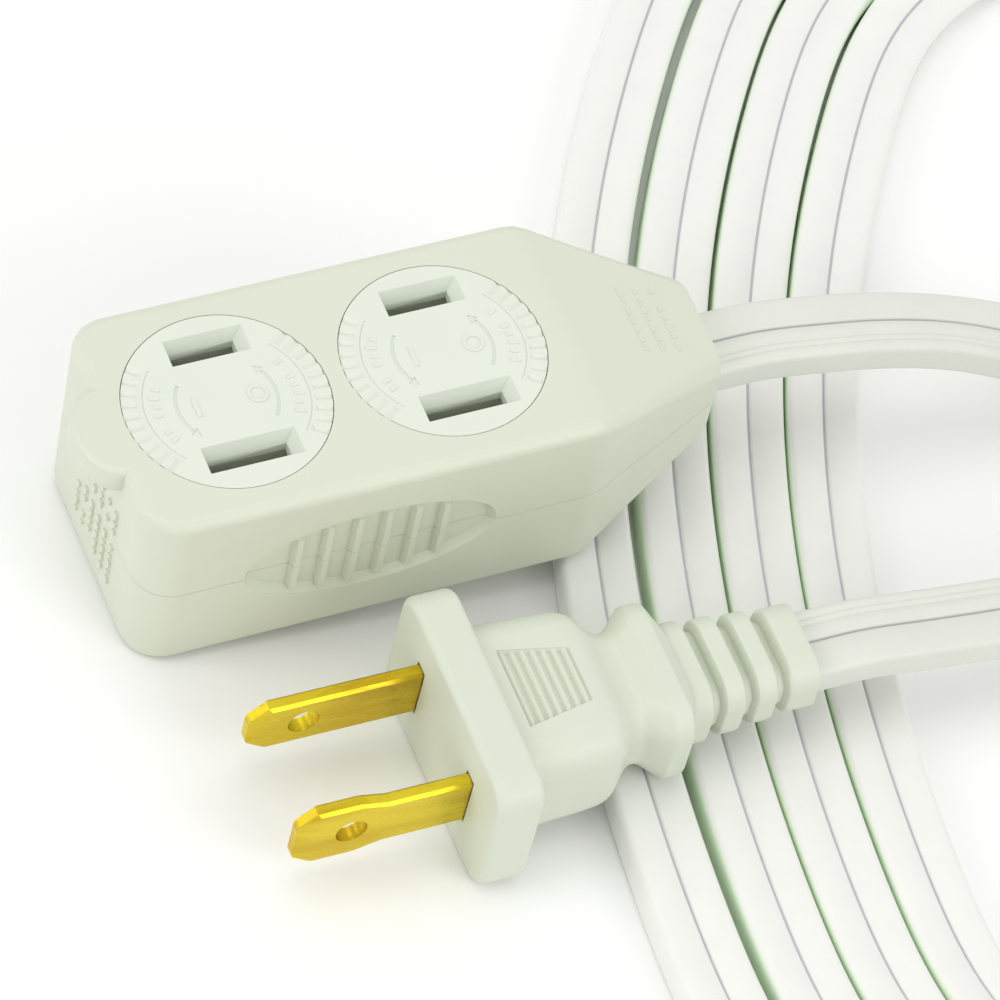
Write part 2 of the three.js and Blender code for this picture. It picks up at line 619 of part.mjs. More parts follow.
// The coil's outer shape: low where its turns lie flat, high where they stand on edge, with the
// inner end's last bend, and drawn in where the tie goes round it.
function coilSolid() {
  const outer = coilLoop((TURNS - 1) * FLAT_PITCH + CORD_WIDTH / 2, (TURNS - 1) * EDGE_PITCH + CORD_THICK / 2);
  const inner = coilLoop(-CORD_WIDTH / 2, -CORD_THICK / 2);
  const flatRing = toSolid(prismZ(polygon(outer), 0, CORD_THICK))
    .subtract(toSolid(prismZ(polygon(inner), -1, CORD_THICK + 1)));
  const raised = (points) => points.filter(([, , onEdge]) => onEdge > 0.35);
  const band = polygon([...raised(outer), ...raised(inner).reverse()]);
  const { top } = coilOutline();
  const reach = BEND_RADIUS + CORD_THICK / 2;
  const lead = new THREE.Shape();
  lead.absarc(top[0], top[1], reach, -Math.PI / 2, 0, false);
  lead.absarc(top[0], top[1], reach - CORD_THICK, 0, -Math.PI / 2, true);
  const across = TIED_WIDTH / 2 - GAP;
  const notch = tieBlock(3 * TIED_WIDTH, TIE_WIDTH / 2 + GAP, -1, 2 * CORD_WIDTH)
    .subtract(tieBlock(across, TIE_WIDTH, TIE_THICK + GAP, CORD_WIDTH - GAP));
  return flatRing.add(joined([prismZ(band, 0, CORD_WIDTH), prismZ(lead, 0, CORD_WIDTH)])).subtract(notch);
}

function coilTie() {
  return tieBlock(TIED_WIDTH / 2 + TIE_THICK, TIE_WIDTH / 2, 0, CORD_WIDTH + TIE_THICK)
    .subtract(tieBlock(TIED_WIDTH / 2, TIE_WIDTH, TIE_THICK, CORD_WIDTH));
}

// A free end of the cord: straight out of "exit" along "out", then through the chosen points.
function freeEnd(name, exit, out, route, steps) {
  const first = [GAP, 6].map((reach) => exit.clone().addScaledVector(out, reach).toArray());
  return piece(name, tube([...first, ...route], CORD_WIDTH, CORD_THICK, 10, steps), CORD_WHITE);
}

// ---- assembly --------------------------------------------------------------------------------
// How far along X the coil's outer edge is at a given Y, on its flat stretch.
function coilEdge(y) {
  return ARC_CENTRE[0] - Math.sqrt((OUTER_RADIUS + CORD_WIDTH / 2) ** 2 - (y - ARC_CENTRE[1]) ** 2);
}

function boundsOf(group) {
  group.updateMatrixWorld(true);
  return new THREE.Box3().setFromObject(group, true);
}

// The tap stands on its closed end's lower edge and leans on the coil's outer turn.
function placeTap(tap) {
  for (let pass = 0; pass < 4; pass += 1) {
    tap.position.set(0, 0, 0);
    const bounds = boundsOf(tap);
    tap.position.x = -(bounds.min.x + bounds.max.x) / 2;
    tap.position.z = -bounds.min.z;
    const reach = coilEdge(-TAP_WIDTH / 2) - tap.position.x - TAP_EDGE;
    tap.rotation.y = -Math.asin((CORD_THICK + GAP) / reach);
  }
  tap.updateMatrixWorld(true);
}

// The plug stands on its flange and leans on the coil with its collar.
function placePlug(plug) {
  const lift = CORD_THICK + GAP + COLLAR_HEIGHT / 2 - FLANGE_HEIGHT / 2;
  plug.rotation.y = -Math.asin(lift / PLUG_COLLAR_AT);
  plug.position.set(PLUG_FACE[0], PLUG_FACE[1], 0);
  plug.position.z = -boundsOf(plug).min.z;
  plug.updateMatrixWorld(true);
}

function exitOf(group, x, z) {
  const out = new THREE.Vector3(1, 0, 0).transformDirection(group.matrixWorld);
  return [group.localToWorld(new THREE.Vector3(x, 0, z)), out];
}

const tap = new THREE.Group();
tap.add(...tapShells(), ...coverDiscs(), ...tapWiring());
placeTap(tap);

const plug = new THREE.Group();
plug.add(piece('plug_body', plugBody(), PLUG_IVORY), piece('plug_core', plugCore(), CORE_NYLON));
plug.add(...plugWiring());
placePlug(plug);

const inwards = coilOutline().top;
const TAP_ROUTE = [
  [48, -0.3, 16.3], [58, -0.6, 14.8], [69, -2, 11.8], [80, -4.6, 7.9], [90, -6.5, 4.9],
  [inwards[0] - GAP, inwards[1] - BEND_RADIUS, CORD_WIDTH / 2],
];
const PLUG_ROUTE = [
  [46, -32.4, 10.2], [60, -32.4, 8.9], [74.5, -32.4, 8.2], [90, -36.6, 8.5], [101.4, -47.9, 9.3],
  [105.6, -63.5, 9.8], [104.8, -72.8, 9.8], [101.9, -82, 9.8], [96.8, -90.1, 9.8], [93, -94, 9.8],
];

const cord = new THREE.Group();
cord.add(
  freeEnd('cord_from_tap', ...exitOf(tap, TAP_LENGTH, CORD_LEVEL), TAP_ROUTE, 12),
  freeEnd('cord_to_plug', ...exitOf(plug, PLUG_LENGTH, 0), PLUG_ROUTE, 20),
  piece('cord_coil', coilSolid(), CORD_WHITE),
  piece('coil_tie', coilTie(), TIE_BLACK),
);

const extensionCord = new THREE.Group();
extensionCord.add(tap, plug, cord);

export default extensionCord;
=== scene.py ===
"""Extension cord on a table: the visual model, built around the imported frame.

Everything ends up in metres in the frame's own axes. The tap and the plug are drawn in
millimetres in frames of their own, which come from the record's joints and mounts.
"""
import json
import math

import bmesh
import bpy
from mathutils import Matrix, Vector


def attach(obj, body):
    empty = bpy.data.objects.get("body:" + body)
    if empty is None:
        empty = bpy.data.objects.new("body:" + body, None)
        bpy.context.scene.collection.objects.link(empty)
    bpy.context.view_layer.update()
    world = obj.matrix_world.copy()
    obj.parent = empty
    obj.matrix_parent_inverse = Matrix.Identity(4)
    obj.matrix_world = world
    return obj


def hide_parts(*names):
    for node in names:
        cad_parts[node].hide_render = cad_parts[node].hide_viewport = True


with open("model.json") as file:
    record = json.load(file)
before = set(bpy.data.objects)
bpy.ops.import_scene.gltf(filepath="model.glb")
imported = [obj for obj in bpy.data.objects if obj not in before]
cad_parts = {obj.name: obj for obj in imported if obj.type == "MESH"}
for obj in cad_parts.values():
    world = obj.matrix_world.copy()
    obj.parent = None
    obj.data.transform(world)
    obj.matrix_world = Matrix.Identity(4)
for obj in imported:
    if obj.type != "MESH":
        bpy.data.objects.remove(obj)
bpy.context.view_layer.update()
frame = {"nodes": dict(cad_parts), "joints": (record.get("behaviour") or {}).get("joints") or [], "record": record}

# ---- sizes in millimetres, the CAD's where it has them -----------------------------------------
MM = 0.001
TAP_WIDTH = 26
TAP_HEIGHT = 22
TAP_BODY = 46.5
TAP_LENGTH = 62.5
NOSE_END_WIDTH = 11.5
NOSE_TOP_DROP = 5
NOSE_RISE = 4.5
TAP_CORNER = 4
TAP_EDGE = 1.3
TAP_WALL = 2.2
PARTING_GAP = 0.06
CORD_LEVEL = 10.75

OUTLET_1 = 12.1
OUTLET_2 = 34.2
OUTLET_UNDER = 23.15
DISC_RADIUS = 10.1
DISC_GAP = 0.08
DISC_THICK = 2.4
POCKET_DEPTH = 2.7
DECK = 4.2
HUB_RADIUS = 2
BLADE_Y = 6.35
SLOT_LINE = 6.9
SLOT_NEUTRAL = 8.4
SLOT_WIDTH = 2.2

GRIP_LENGTH = 26
GRIP_HEIGHT = 11.6
GRIP_DEPTH = 0.8
GRIP_RIBS = 6
GRIP_PITCH = 3

FLANGE_WIDTH = 25.5
FLANGE_HEIGHT = 16
FLANGE_THICK = 4.8
PLUG_LENGTH = 37.6
RELIEF_START = 23.6
RELIEF_SEGMENTS = 4
BLADE_LENGTH = 17.5
BLADE_THICK = 1.5
BLADE_WIDTH = 6.35
NEUTRAL_HEAD = 7.9               # width of the neutral blade near its tip
BLADE_HOLE_AT = 11.8
BLADE_HOLE_RADIUS = 1.6
BLADE_CHAMFER = 0.3

CORD_WIDTH = 7.5
CORD_THICK = 3.7
CORD_FULLNESS = 0.1              # how much wider than nominal each side of the vinyl is
CORNER = 0.8

# ---- the camera ------------------------------------------------------------------------------
CAMERA_AZIMUTH = 38.4            # degrees from +Y towards +X
CAMERA_ELEVATION = 50.5
CAMERA_ROLL = 20.7
CAMERA_DISTANCE = 0.5957
CAMERA_TARGET = (0.01523, -0.00187, 0)
CAMERA_LENS = 216


def add_camera():
    data = bpy.data.cameras.new("camera")
    data.lens = CAMERA_LENS
    data.sensor_width = 36
    data.clip_start = 0.01
    camera = bpy.data.objects.new("camera", data)
    bpy.context.scene.collection.objects.link(camera)
    turn = (Matrix.Rotation(-math.radians(CAMERA_AZIMUTH), 4, "Z")
            @ Matrix.Rotation(math.radians(90 - CAMERA_ELEVATION), 4, "X")
            @ Matrix.Rotation(math.radians(CAMERA_ROLL), 4, "Z"))
    back = turn @ Vector((0, 0, CAMERA_DISTANCE))
    camera.matrix_world = Matrix.Translation(Vector(CAMERA_TARGET) + back) @ turn
    bpy.context.scene.camera = camera


# ---- frames of the tap and the plug ------------------------------------------------------------
JOINTS = {joint["name"]: joint for joint in frame["joints"]}
MOUNTS = {mount["name"]: mount for mount in frame["record"]["mounts"]}


def frame_matrix(origin, x_axis, z_axis):
    """Millimetres in a piece's own frame to metres in the model's."""
    x, z = Vector(x_axis).normalized(), Vector(z_axis).normalized()
    turn = Matrix((x, z.cross(x), z)).transposed().to_4x4()
    return Matrix.Translation(origin) @ turn @ Matrix.Scale(MM, 4)


def tap_frame():
    first = Vector(JOINTS["cover_1_turn"]["pos_m"])
    second = Vector(JOINTS["cover_2_turn"]["pos_m"])
    z = Vector(JOINTS["cover_1_turn"]["axis"])
    x = (second - first).normalized()
    return frame_matrix(first - x * OUTLET_1 * MM - z * TAP_HEIGHT * MM, x, z)


def plug_frame():
    face = MOUNTS["plug_face"]
    x = -Vector(face["axis"])
    return frame_matrix(face["pos_m"], x, x.cross(Vector((0, 1, 0))))


TAP = tap_frame()
PLUG = plug_frame()

# ---- shapes: (vertices, faces), drawn in millimetres ------------------------------------------


def arc(radius, start, end, steps, centre=(0, 0), squash=1):
    """Points on an arc, its angles in degrees; squash scales it along its first axis."""
    points = []
    for i in range(steps + 1):
        angle = math.radians(start + (end - start) * i / steps)
        x = centre[0] + squash * radius * math.cos(angle)
        points.append((x, centre[1] + radius * math.sin(angle)))
    return points


def circle(radius, sides, centre=(0, 0), squash=1):
    return arc(radius, 0, 360, sides, centre, squash)[:-1]


def rectangle(x0, x1, y0, y1):
    return [(x0, y0), (x1, y0), (x1, y1), (x0, y1)]


def inset(points, centre, amount):
    """Points moved towards a centre by an amount along each axis."""
    def nearer(value, middle):
        return middle + math.copysign(max(abs(value - middle) - amount, 0), value - middle)

    return [tuple(nearer(p, c) for p, c in zip(point, centre)) for point in points]


def skin(rings):
    """A closed skin over rings of 3-D points, with one face at each end."""
    count = len(rings[0])
    vertices = [point for ring in rings for point in ring]
    faces = [tuple(range(count))]
    for i in range(len(rings) - 1):
        for j in range(count):
            k = (j + 1) % count
            faces.append((i * count + j, (i + 1) * count + j, (i + 1) * count + k, i * count + k))
    last = (len(rings) - 1) * count
    faces.append(tuple(range(last, last + count)))
    return vertices, faces


def stack(layers):
    """A closed solid over outlines set at heights: [(outline, z), ...]."""
    return skin([[(x, y, z) for x, y in outline] for outline, z in layers])


def prism(outline, z0, z1):
    return stack([(outline, z0), (outline, z1)])


def box(x0, x1, y0, y1, z0, z1):
    return prism(rectangle(x0, x1, y0, y1), z0, z1)


def arc_band(inner, outer, start, end, z0, z1, steps=16):
    return prism(arc(outer, start, end, steps) + arc(inner, end, start, steps), z0, z1)


def hoop(inner, outer, z0, z1, steps=28):
    """A flat ring, closed on itself."""
    vertices = []
    for angle in (2 * math.pi * i / steps for i in range(steps)):
        for radius, z in ((inner, z0), (outer, z0), (outer, z1), (inner, z1)):
            vertices.append((radius * math.cos(angle), radius * math.sin(angle), z))
    faces = []
    for i in range(steps):
        for j in range(4):
            k, ahead = (j + 1) % 4, (i + 1) % steps
            faces.append((i * 4 + j, ahead * 4 + j, ahead * 4 + k, i * 4 + k))
    return vertices, faces


def turned(shape, matrix):
    vertices, faces = shape
    return [tuple(matrix @ Vector(v)) for v in vertices], faces


def rounded_ring(x, half_width, z_low, z_high, radius, per_corner=6):
    """A rounded rectangle standing across X."""
    middle = (z_low + z_high) / 2
    half_height = (z_high - z_low) / 2
    ring = []
    for corner, (sy, sz) in enumerate([(1, 1), (-1, 1), (-1, -1), (1, -1)]):
        centre = (sy * (half_width - radius), middle + sz * (half_height - radius))
        for y, z in arc(radius, 90 * corner, 90 * corner + 90, per_corner, centre):
            ring.append((x, y, z))
    return ring


# ---- solids ------------------------------------------------------------------------------------


def solid(name, *shapes):
    """An object of closed shapes, its faces turned outwards."""
    mesh = bpy.data.meshes.new(name)
    draft = bmesh.new()
    for vertices, faces in shapes:
        made = [draft.verts.new(v) for v in vertices]
        for face in faces:
            draft.faces.new([made[i] for i in face])
    bmesh.ops.recalc_face_normals(draft, faces=draft.faces)
    draft.to_mesh(mesh)
    draft.free()
    obj = bpy.data.objects.new(name, mesh)
    bpy.context.scene.collection.objects.link(obj)
    return obj


def apply_modifiers(obj):
    bpy.context.view_layer.update()
    graph = bpy.context.evaluated_depsgraph_get()
    mesh = bpy.data.meshes.new_from_object(obj.evaluated_get(graph))
    old = obj.data
    obj.modifiers.clear()
    obj.data = mesh
    mesh.name = obj.name
    bpy.data.meshes.remove(old)


def combine(obj, operation, *shapes):
    """Cuts, joins or meets obj with shapes, which are one tool."""
    tool = solid("tool", *shapes)
    modifier = obj.modifiers.new("combine", "BOOLEAN")
    modifier.operation = operation
    modifier.solver = "MANIFOLD"
    modifier.object = tool
    apply_modifiers(obj)
    mesh = tool.data
    bpy.data.objects.remove(tool)
    bpy.data.meshes.remove(mesh)


def tidy_faces(obj, angle=0.4):
    """Joins faces that lie in one plane."""
    draft = bmesh.new()
    draft.from_mesh(obj.data)
    bmesh.ops.remove_doubles(draft, verts=draft.verts, dist=0.002)
    bmesh.ops.dissolve_limit(draft, angle_limit=math.radians(angle), verts=draft.verts, edges=draft.edges)
    draft.to_mesh(obj.data)
    draft.free()


def soften(obj, width, segments=2, angle=35):
    modifier = obj.modifiers.new("soften", "BEVEL")
    modifier.width = width
    modifier.segments = segments
    modifier.limit_method = "ANGLE"
    modifier.angle_limit = math.radians(angle)
    modifier.miter_outer = "MITER_ARC"
    apply_modifiers(obj)


def shade(obj, angle=32):
    """Smooth shading with sharp edges kept, and flat faces left flat."""
    obj.data.shade_smooth()
    obj.data.set_sharp_from_angle(angle=math.radians(angle))
    modifier = obj.modifiers.new("normals", "WEIGHTED_NORMAL")
    modifier.keep_sharp = True
    modifier.weight = 80
    apply_modifiers(obj)


def place(obj, matrix, body, slot, material, *nodes):
    """Moves a finished solid into the model, gives it its material, hangs it on its body and hides the CAD parts
    it stands for.
    """
    obj.data.transform(matrix)
    obj.data.materials.clear()
    obj.data.materials.append(material)
    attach(obj, body)
    if nodes:
        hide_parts(*nodes)
    return obj


# ---- materials ---------------------------------------------------------------------------------


def new_material(name):
    material = bpy.data.materials.new(name)
    material.use_nodes = True
    nodes = material.node_tree.nodes
    nodes.clear()
    output = nodes.new("ShaderNodeOutputMaterial")
    shader = nodes.new("ShaderNodeBsdfPrincipled")
    material.node_tree.links.new(shader.outputs["BSDF"], output.inputs["Surface"])
    return material, shader


def noise_node(material, scale, detail=3, stretch=(1, 1, 1)):
    """Noise in the model's own metres; scale is in lumps per metre."""
    tree = material.node_tree
    coordinates = tree.nodes.new("ShaderNodeTexCoord")
    mapping = tree.nodes.new("ShaderNodeMapping")
    mapping.inputs["Scale"].default_value = stretch
    noise = tree.nodes.new("ShaderNodeTexNoise")
    noise.inputs["Scale"].default_value = scale
    noise.inputs["Detail"].default_value = detail
    tree.links.new(coordinates.outputs["Object"], mapping.inputs["Vector"])
    tree.links.new(mapping.outputs["Vector"], noise.inputs["Vector"])
    return noise


def ramp_node(material, source, stops):
    """A ramp over a value: stops are (place, colour)."""
    tree = material.node_tree
    ramp = tree.nodes.new("ShaderNodeValToRGB")
    while len(ramp.color_ramp.elements) < len(stops):
        ramp.color_ramp.elements.new(0.5)
    for element, (at, colour) in zip(ramp.color_ramp.elements, stops):
        element.position = at
        element.color = (*colour, 1)
    tree.links.new(source, ramp.inputs["Fac"])
    return ramp


def grey(value):
    return (value, value, value)


def bump_node(material, shader, source, strength, distance):
    tree = material.node_tree
    bump = tree.nodes.new("ShaderNodeBump")
    bump.inputs["Strength"].default_value = strength
    bump.inputs["Distance"].default_value = distance
    tree.links.new(source, bump.inputs["Height"])
    tree.links.new(bump.outputs["Normal"], shader.inputs["Normal"])


def plastic(name, light, dark, rough, grain=4200, grain_height=0.00002, subsurface=0.0):
    """Moulded plastic: faint clouds of colour, an uneven gloss and a fine moulded grain."""
    material, shader = new_material(name)
    tree = material.node_tree
    clouds = noise_node(material, 90, 4)
    colour = ramp_node(material, clouds.outputs["Fac"], [(0.3, dark), (0.7, light)])
    tree.links.new(colour.outputs["Color"], shader.inputs["Base Color"])
    gloss = noise_node(material, 500, 5)
    stops = [(0.3, grey(rough - 0.05)), (0.7, grey(rough + 0.06))]
    roughness = ramp_node(material, gloss.outputs["Fac"], stops)
    tree.links.new(roughness.outputs["Color"], shader.inputs["Roughness"])
    fine = noise_node(material, grain, 2)
    bump_node(material, shader, fine.outputs["Fac"], 0.25, grain_height)
    shader.inputs["IOR"].default_value = 1.5
    if subsurface:
        shader.inputs["Subsurface Weight"].default_value = subsurface
        shader.inputs["Subsurface Radius"].default_value = (1, 1, 0.7)
        shader.inputs["Subsurface Scale"].default_value = 0.0012
    return material


def metal(name, light, dark, rough, scale=(1, 1, 1)):
    """Rolled metal: stained clouds of colour, an uneven gloss and fine scratches along X."""
    material, shader = new_material(name)
    tree = material.node_tree
    clouds = noise_node(material, 180, 3, scale)
    colour = ramp_node(material, clouds.outputs["Fac"], [(0.3, dark), (0.6, light)])
    tree.links.new(colour.outputs["Color"], shader.inputs["Base Color"])
    shader.inputs["Metallic"].default_value = 1.0
    gloss = noise_node(material, 1600, 5, scale)
    stops = [(0.3, grey(rough - 0.08)), (0.7, grey(rough + 0.12))]
    roughness = ramp_node(material, gloss.outputs["Fac"], stops)
    tree.links.new(roughness.outputs["Color"], shader.inputs["Roughness"])
    scratches = noise_node(material, 3500, 3, (0.12, 1, 1))
    bump_node(material, shader, scratches.outputs["Fac"], 0.1, 0.000006)
    return material


def multiply_node(material, first, second):
    tree = material.node_tree
    mixer = tree.nodes.new("ShaderNodeMix")
    mixer.data_type = "RGBA"
    mixer.blend_type = "MULTIPLY"
    mixer.inputs["Factor"].default_value = 1.0
    tree.links.new(first, mixer.inputs["A"])
    tree.links.new(second, mixer.inputs["B"])
    return mixer


def cord_material():
    """Soft vinyl with painted shade: greenish painted shade on edges that face a turn, grey painted shade in
    grooves; creamier near the ends.
    """
    material, shader = new_material("cord_vinyl")
    tree = material.node_tree
    # The 'edge' attribute marks where shade is painted: 0 in grooves, 1 on edges in the gaps between turns.
    edge = tree.nodes.new("ShaderNodeAttribute")
    edge.attribute_name = "edge"
    # Painted shade colours: lavender grey in the grooves, green grey on edges in the gaps between turns, plain
    # vinyl between.
    painted_shade = ramp_node(material, edge.outputs["Fac"], [
        (0.0, (0.62, 0.62, 0.68)), (0.4, (0.845, 0.85, 0.82)), (0.6, (0.845, 0.85, 0.82)),
        (0.8, (0.84, 0.88, 0.80)), (1.0, (0.74, 0.86, 0.68)),
    ])
    streaks = noise_node(material, 300, 3)
    shadow = ramp_node(material, streaks.outputs["Fac"], [(0.3, grey(0.975)), (0.7, grey(1.0))])
    tail = tree.nodes.new("ShaderNodeAttribute")
    tail.attribute_name = "tail"
    ivory = ramp_node(material, tail.outputs["Fac"], [(0.0, grey(1.0)), (1.0, (0.86, 0.87, 0.83))])
    colour = multiply_node(material, painted_shade.outputs["Color"], shadow.outputs["Color"])
    colour = multiply_node(material, colour.outputs["Result"], ivory.outputs["Color"])
    tree.links.new(colour.outputs["Result"], shader.inputs["Base Color"])
    gloss = noise_node(material, 700, 4)
    roughness = ramp_node(material, gloss.outputs["Fac"], [(0.3, grey(0.36)), (0.7, grey(0.48))])
    tree.links.new(roughness.outputs["Color"], shader.inputs["Roughness"])
    fine = noise_node(material, 2600, 3)
    bump_node(material, shader, fine.outputs["Fac"], 0.2, 0.00002)
    return material


IVORY = plastic("tap_plastic", (0.675, 0.71, 0.595), (0.66, 0.695, 0.58), 0.42)
COVER = plastic("cover_plastic", (0.72, 0.77, 0.68), (0.705, 0.755, 0.665), 0.4)
VINYL = plastic("plug_vinyl", (0.665, 0.71, 0.60), (0.65, 0.695, 0.585), 0.46, grain=2400)
NYLON = plastic("core_nylon", (0.70, 0.69, 0.62), (0.66, 0.65, 0.58), 0.5)
TIE = plastic("tie_vinyl", (0.035, 0.036, 0.038), (0.025, 0.026, 0.028), 0.5)
CORD = cord_material()
BRASS = metal("blade_brass", (0.76, 0.60, 0.035), (0.58, 0.38, 0.02), 0.28, (0.3, 1, 1.6))
CONTACT = metal("contact_brass", (0.72, 0.55, 0.16), (0.52, 0.36, 0.09), 0.34)
COPPER = metal("strand_copper", (0.78, 0.38, 0.2), (0.55, 0.24, 0.12), 0.36, (4, 1, 1))

# ---- the cord ----------------------------------------------------------------------------------
FLAT_PITCH = 8.15
EDGE_PITCH = 3.9
ARC_CENTRE = (206.8, -66.4)
ARC_RADIUS = 168.9
ARC_ANGLE = math.radians(40.5)
BEND_RADIUS = 30.6
RIGHT_SLANT = math.radians(19)
TWIST_LENGTH = 36
TWIST_FROM = 66                       # where the tap's tail begins to turn on to its edge
TURNS = 4
TAP_ROUTE = [
    (48, -0.3, 16.3), (58, -0.6, 14.8), (69, -2, 11.8), (80, -4.6, 7.9), (90, -6.5, 4.9),
]
PLUG_ROUTE = [
    (46, -32.4, 10.2), (60, -32.4, 8.9), (74.5, -32.4, 8.2), (90, -36.6, 8.5), (101.4, -47.9, 9.3),
    (105.6, -63.5, 9.8), (104.8, -72.8, 9.8), (101.9, -82, 9.8), (96.8, -90.1, 9.8), (93, -94, 9.8),
]
TURN_SHIFT = (0, -0.1, -0.22, 0.38)   # how far each turn lies off its even place
TURN_SWAY = 0.07                      # and how far it wanders along the coil
TIE_LIFT = 0.95


def smooth(value):
    value = min(1, max(0, value))
    return value * value * (3 - 2 * value)


def mix(a, b, share):
    return a + (b - a) * share


def coil_outline():
    """The innermost turn, clockwise from the foot of the flat stretch: see the CAD."""
    foot = (ARC_CENTRE[0] - ARC_RADIUS, ARC_CENTRE[1])
    reach = ARC_RADIUS - BEND_RADIUS
    top = (ARC_CENTRE[0] - reach * math.cos(ARC_ANGLE), ARC_CENTRE[1] + reach * math.sin(ARC_ANGLE))
    down_from = (top[0] + BEND_RADIUS * math.cos(RIGHT_SLANT), top[1] - BEND_RADIUS * math.sin(RIGHT_SLANT))
    corner = (foot[0] + BEND_RADIUS, foot[1] - BEND_RADIUS)
    drop = down_from[1] - corner[1] - BEND_RADIUS * (1 - math.sin(RIGHT_SLANT))
    down = drop / math.cos(RIGHT_SLANT)
    across = down_from[0] - down * math.sin(RIGHT_SLANT) - BEND_RADIUS * math.cos(RIGHT_SLANT) - corner[0]
    runs = [
        (ARC_RADIUS, ARC_ANGLE), (BEND_RADIUS, math.pi - ARC_ANGLE + RIGHT_SLANT), (down, 0),
        (BEND_RADIUS, math.pi / 2 - RIGHT_SLANT), (across, 0), (BEND_RADIUS, math.pi / 2),
    ]
    return foot, top, runs


FOOT, TOP_CENTRE, RUNS = coil_outline()
RUN_LENGTHS = [size * turn if turn else size for size, turn in RUNS]
ROUND = sum(RUN_LENGTHS)
BEND_END = RUN_LENGTHS[0] + RUN_LENGTHS[1]
DOWN_END = BEND_END + RUN_LENGTHS[2]


def outline_at(s):
    """Place and heading on the innermost turn, s millimetres from its foot."""
    x, y = FOOT
    heading = math.pi / 2
    for (size, turn), length in zip(RUNS, RUN_LENGTHS):
        gone = min(s, length)
        angle = heading - turn * gone / length
        if turn:
            x += size * (math.sin(heading) - math.sin(angle))
            y -= size * (math.cos(heading) - math.cos(angle))
        else:
            x += gone * math.cos(heading)
            y += gone * math.sin(heading)
        if s <= length:
            return x, y, angle
        s -= length
        heading = angle
    return x, y, heading


def on_edge(s):
    """0 where the coil lies flat, 1 where it stands on edge, s millimetres from its foot."""
    return smooth(max(0, min(s - RUN_LENGTHS[0], ROUND - s)) / TWIST_LENGTH)


def rest_height(twist):
    """How high the cord's middle is when it lies on the table, twisted that far."""
    along, up = abs(math.sin(math.radians(twist))), abs(math.cos(math.radians(twist)))
    return (CORD_WIDTH * along + CORD_THICK * up) / 2 - CORNER * (along + up - 1)


def turn_point(s, slot):
    """A point of the turn in that slot, and the twist of the cord there, in degrees."""
    x, y, heading = outline_at(s)
    edge = on_edge(s)
    turn = min(int(slot + 0.5), TURNS - 1)
    shift = TURN_SHIFT[turn] + TURN_SWAY * math.sin(s / 24 + 2 * turn) * smooth(s / 40)
    out = slot * mix(FLAT_PITCH, EDGE_PITCH, edge) + shift * (1 - edge)
    twist = mix(180, 90, edge)
    middle = (BEND_END + DOWN_END) / 2
    z = rest_height(twist) + TIE_LIFT * math.exp(-((s - middle) / 16) ** 2)
    return (x - out * math.sin(heading), y + out * math.cos(heading), z), twist


def coil_route():
    """Turn by turn from the inner end, as (point, twist), a point about every 5 mm."""
    route = []
    for i in range(11):
        angle = math.radians(-90 + (90 - math.degrees(RIGHT_SLANT)) * i / 10)
        x = TOP_CENTRE[0] + BEND_RADIUS * math.cos(angle)
        y = TOP_CENTRE[1] + BEND_RADIUS * math.sin(angle)
        route.append(((x, y, CORD_WIDTH / 2), 90))
    for turn in range(TURNS):
        for i in range(1, 43):
            route.append(turn_point(BEND_END * (1 - i / 42), turn))
        if turn == TURNS - 1:
            break
        for i in range(1, 19):
            route.append(turn_point(ROUND - (ROUND - DOWN_END) * i / 18, turn))
        for i in range(1, 21):
            route.append(turn_point(mix(DOWN_END, BEND_END, i / 20), turn + smooth(i / 20)))
    return route


def climb_route():
    """From the outermost turn's foot up on to the other turns, towards the plug."""
    centre = (FOOT[0] + BEND_RADIUS, FOOT[1])
    end = Vector(PLUG_ROUTE[-1])
    end_reach = math.hypot(end.x - centre[0], end.y - centre[1])
    end_angle = 360 + math.degrees(math.atan2(end.y - centre[1], end.x - centre[0]))
    route = []
    for i in range(1, 20):
        angle = mix(180, end_angle, i / 20)
        edge = on_edge(ROUND - math.radians(angle - 180) * BEND_RADIUS)
        inwards = smooth((angle - 245) / (end_angle - 245))
        out = (TURNS - 1) * mix(FLAT_PITCH, EDGE_PITCH, edge) + TURN_SHIFT[-1] * (1 - edge)
        reach = mix(BEND_RADIUS + out, end_reach, inwards)
        rise = smooth((angle - 225) / (300 - 225))
        twist = 180 - 90 * edge
        z = mix(rest_height(twist), end.z, rise)
        twist *= 1 - smooth((angle - 240) / (end_angle - 240))
        x = centre[0] + reach * math.cos(math.radians(angle))
        y = centre[1] + reach * math.sin(math.radians(angle))
        route.append(((x, y, z), twist))
    return route


def cord_route():
    """The whole cord from the tap to the plug, as (point, twist) in millimetres and degrees."""
    tap_exit = [TAP @ Vector((TAP_LENGTH + reach, 0, CORD_LEVEL)) / MM for reach in (-3, 0.3, 6)]
    plug_exit = [PLUG @ Vector((PLUG_LENGTH + reach, 0, 0)) / MM for reach in (6, 0.3, -3)]
    route = [(point, 0) for point in tap_exit]
    for point in TAP_ROUTE:
        route.append((point, 90 * smooth((point[0] - TWIST_FROM) / TWIST_LENGTH)))
    route += coil_route() + climb_route()
    route += [(point, 0) for point in reversed(PLUG_ROUTE)]
    route += [(point, 0) for point in plug_exit]
    return [(Vector(point), twist) for point, twist in route]


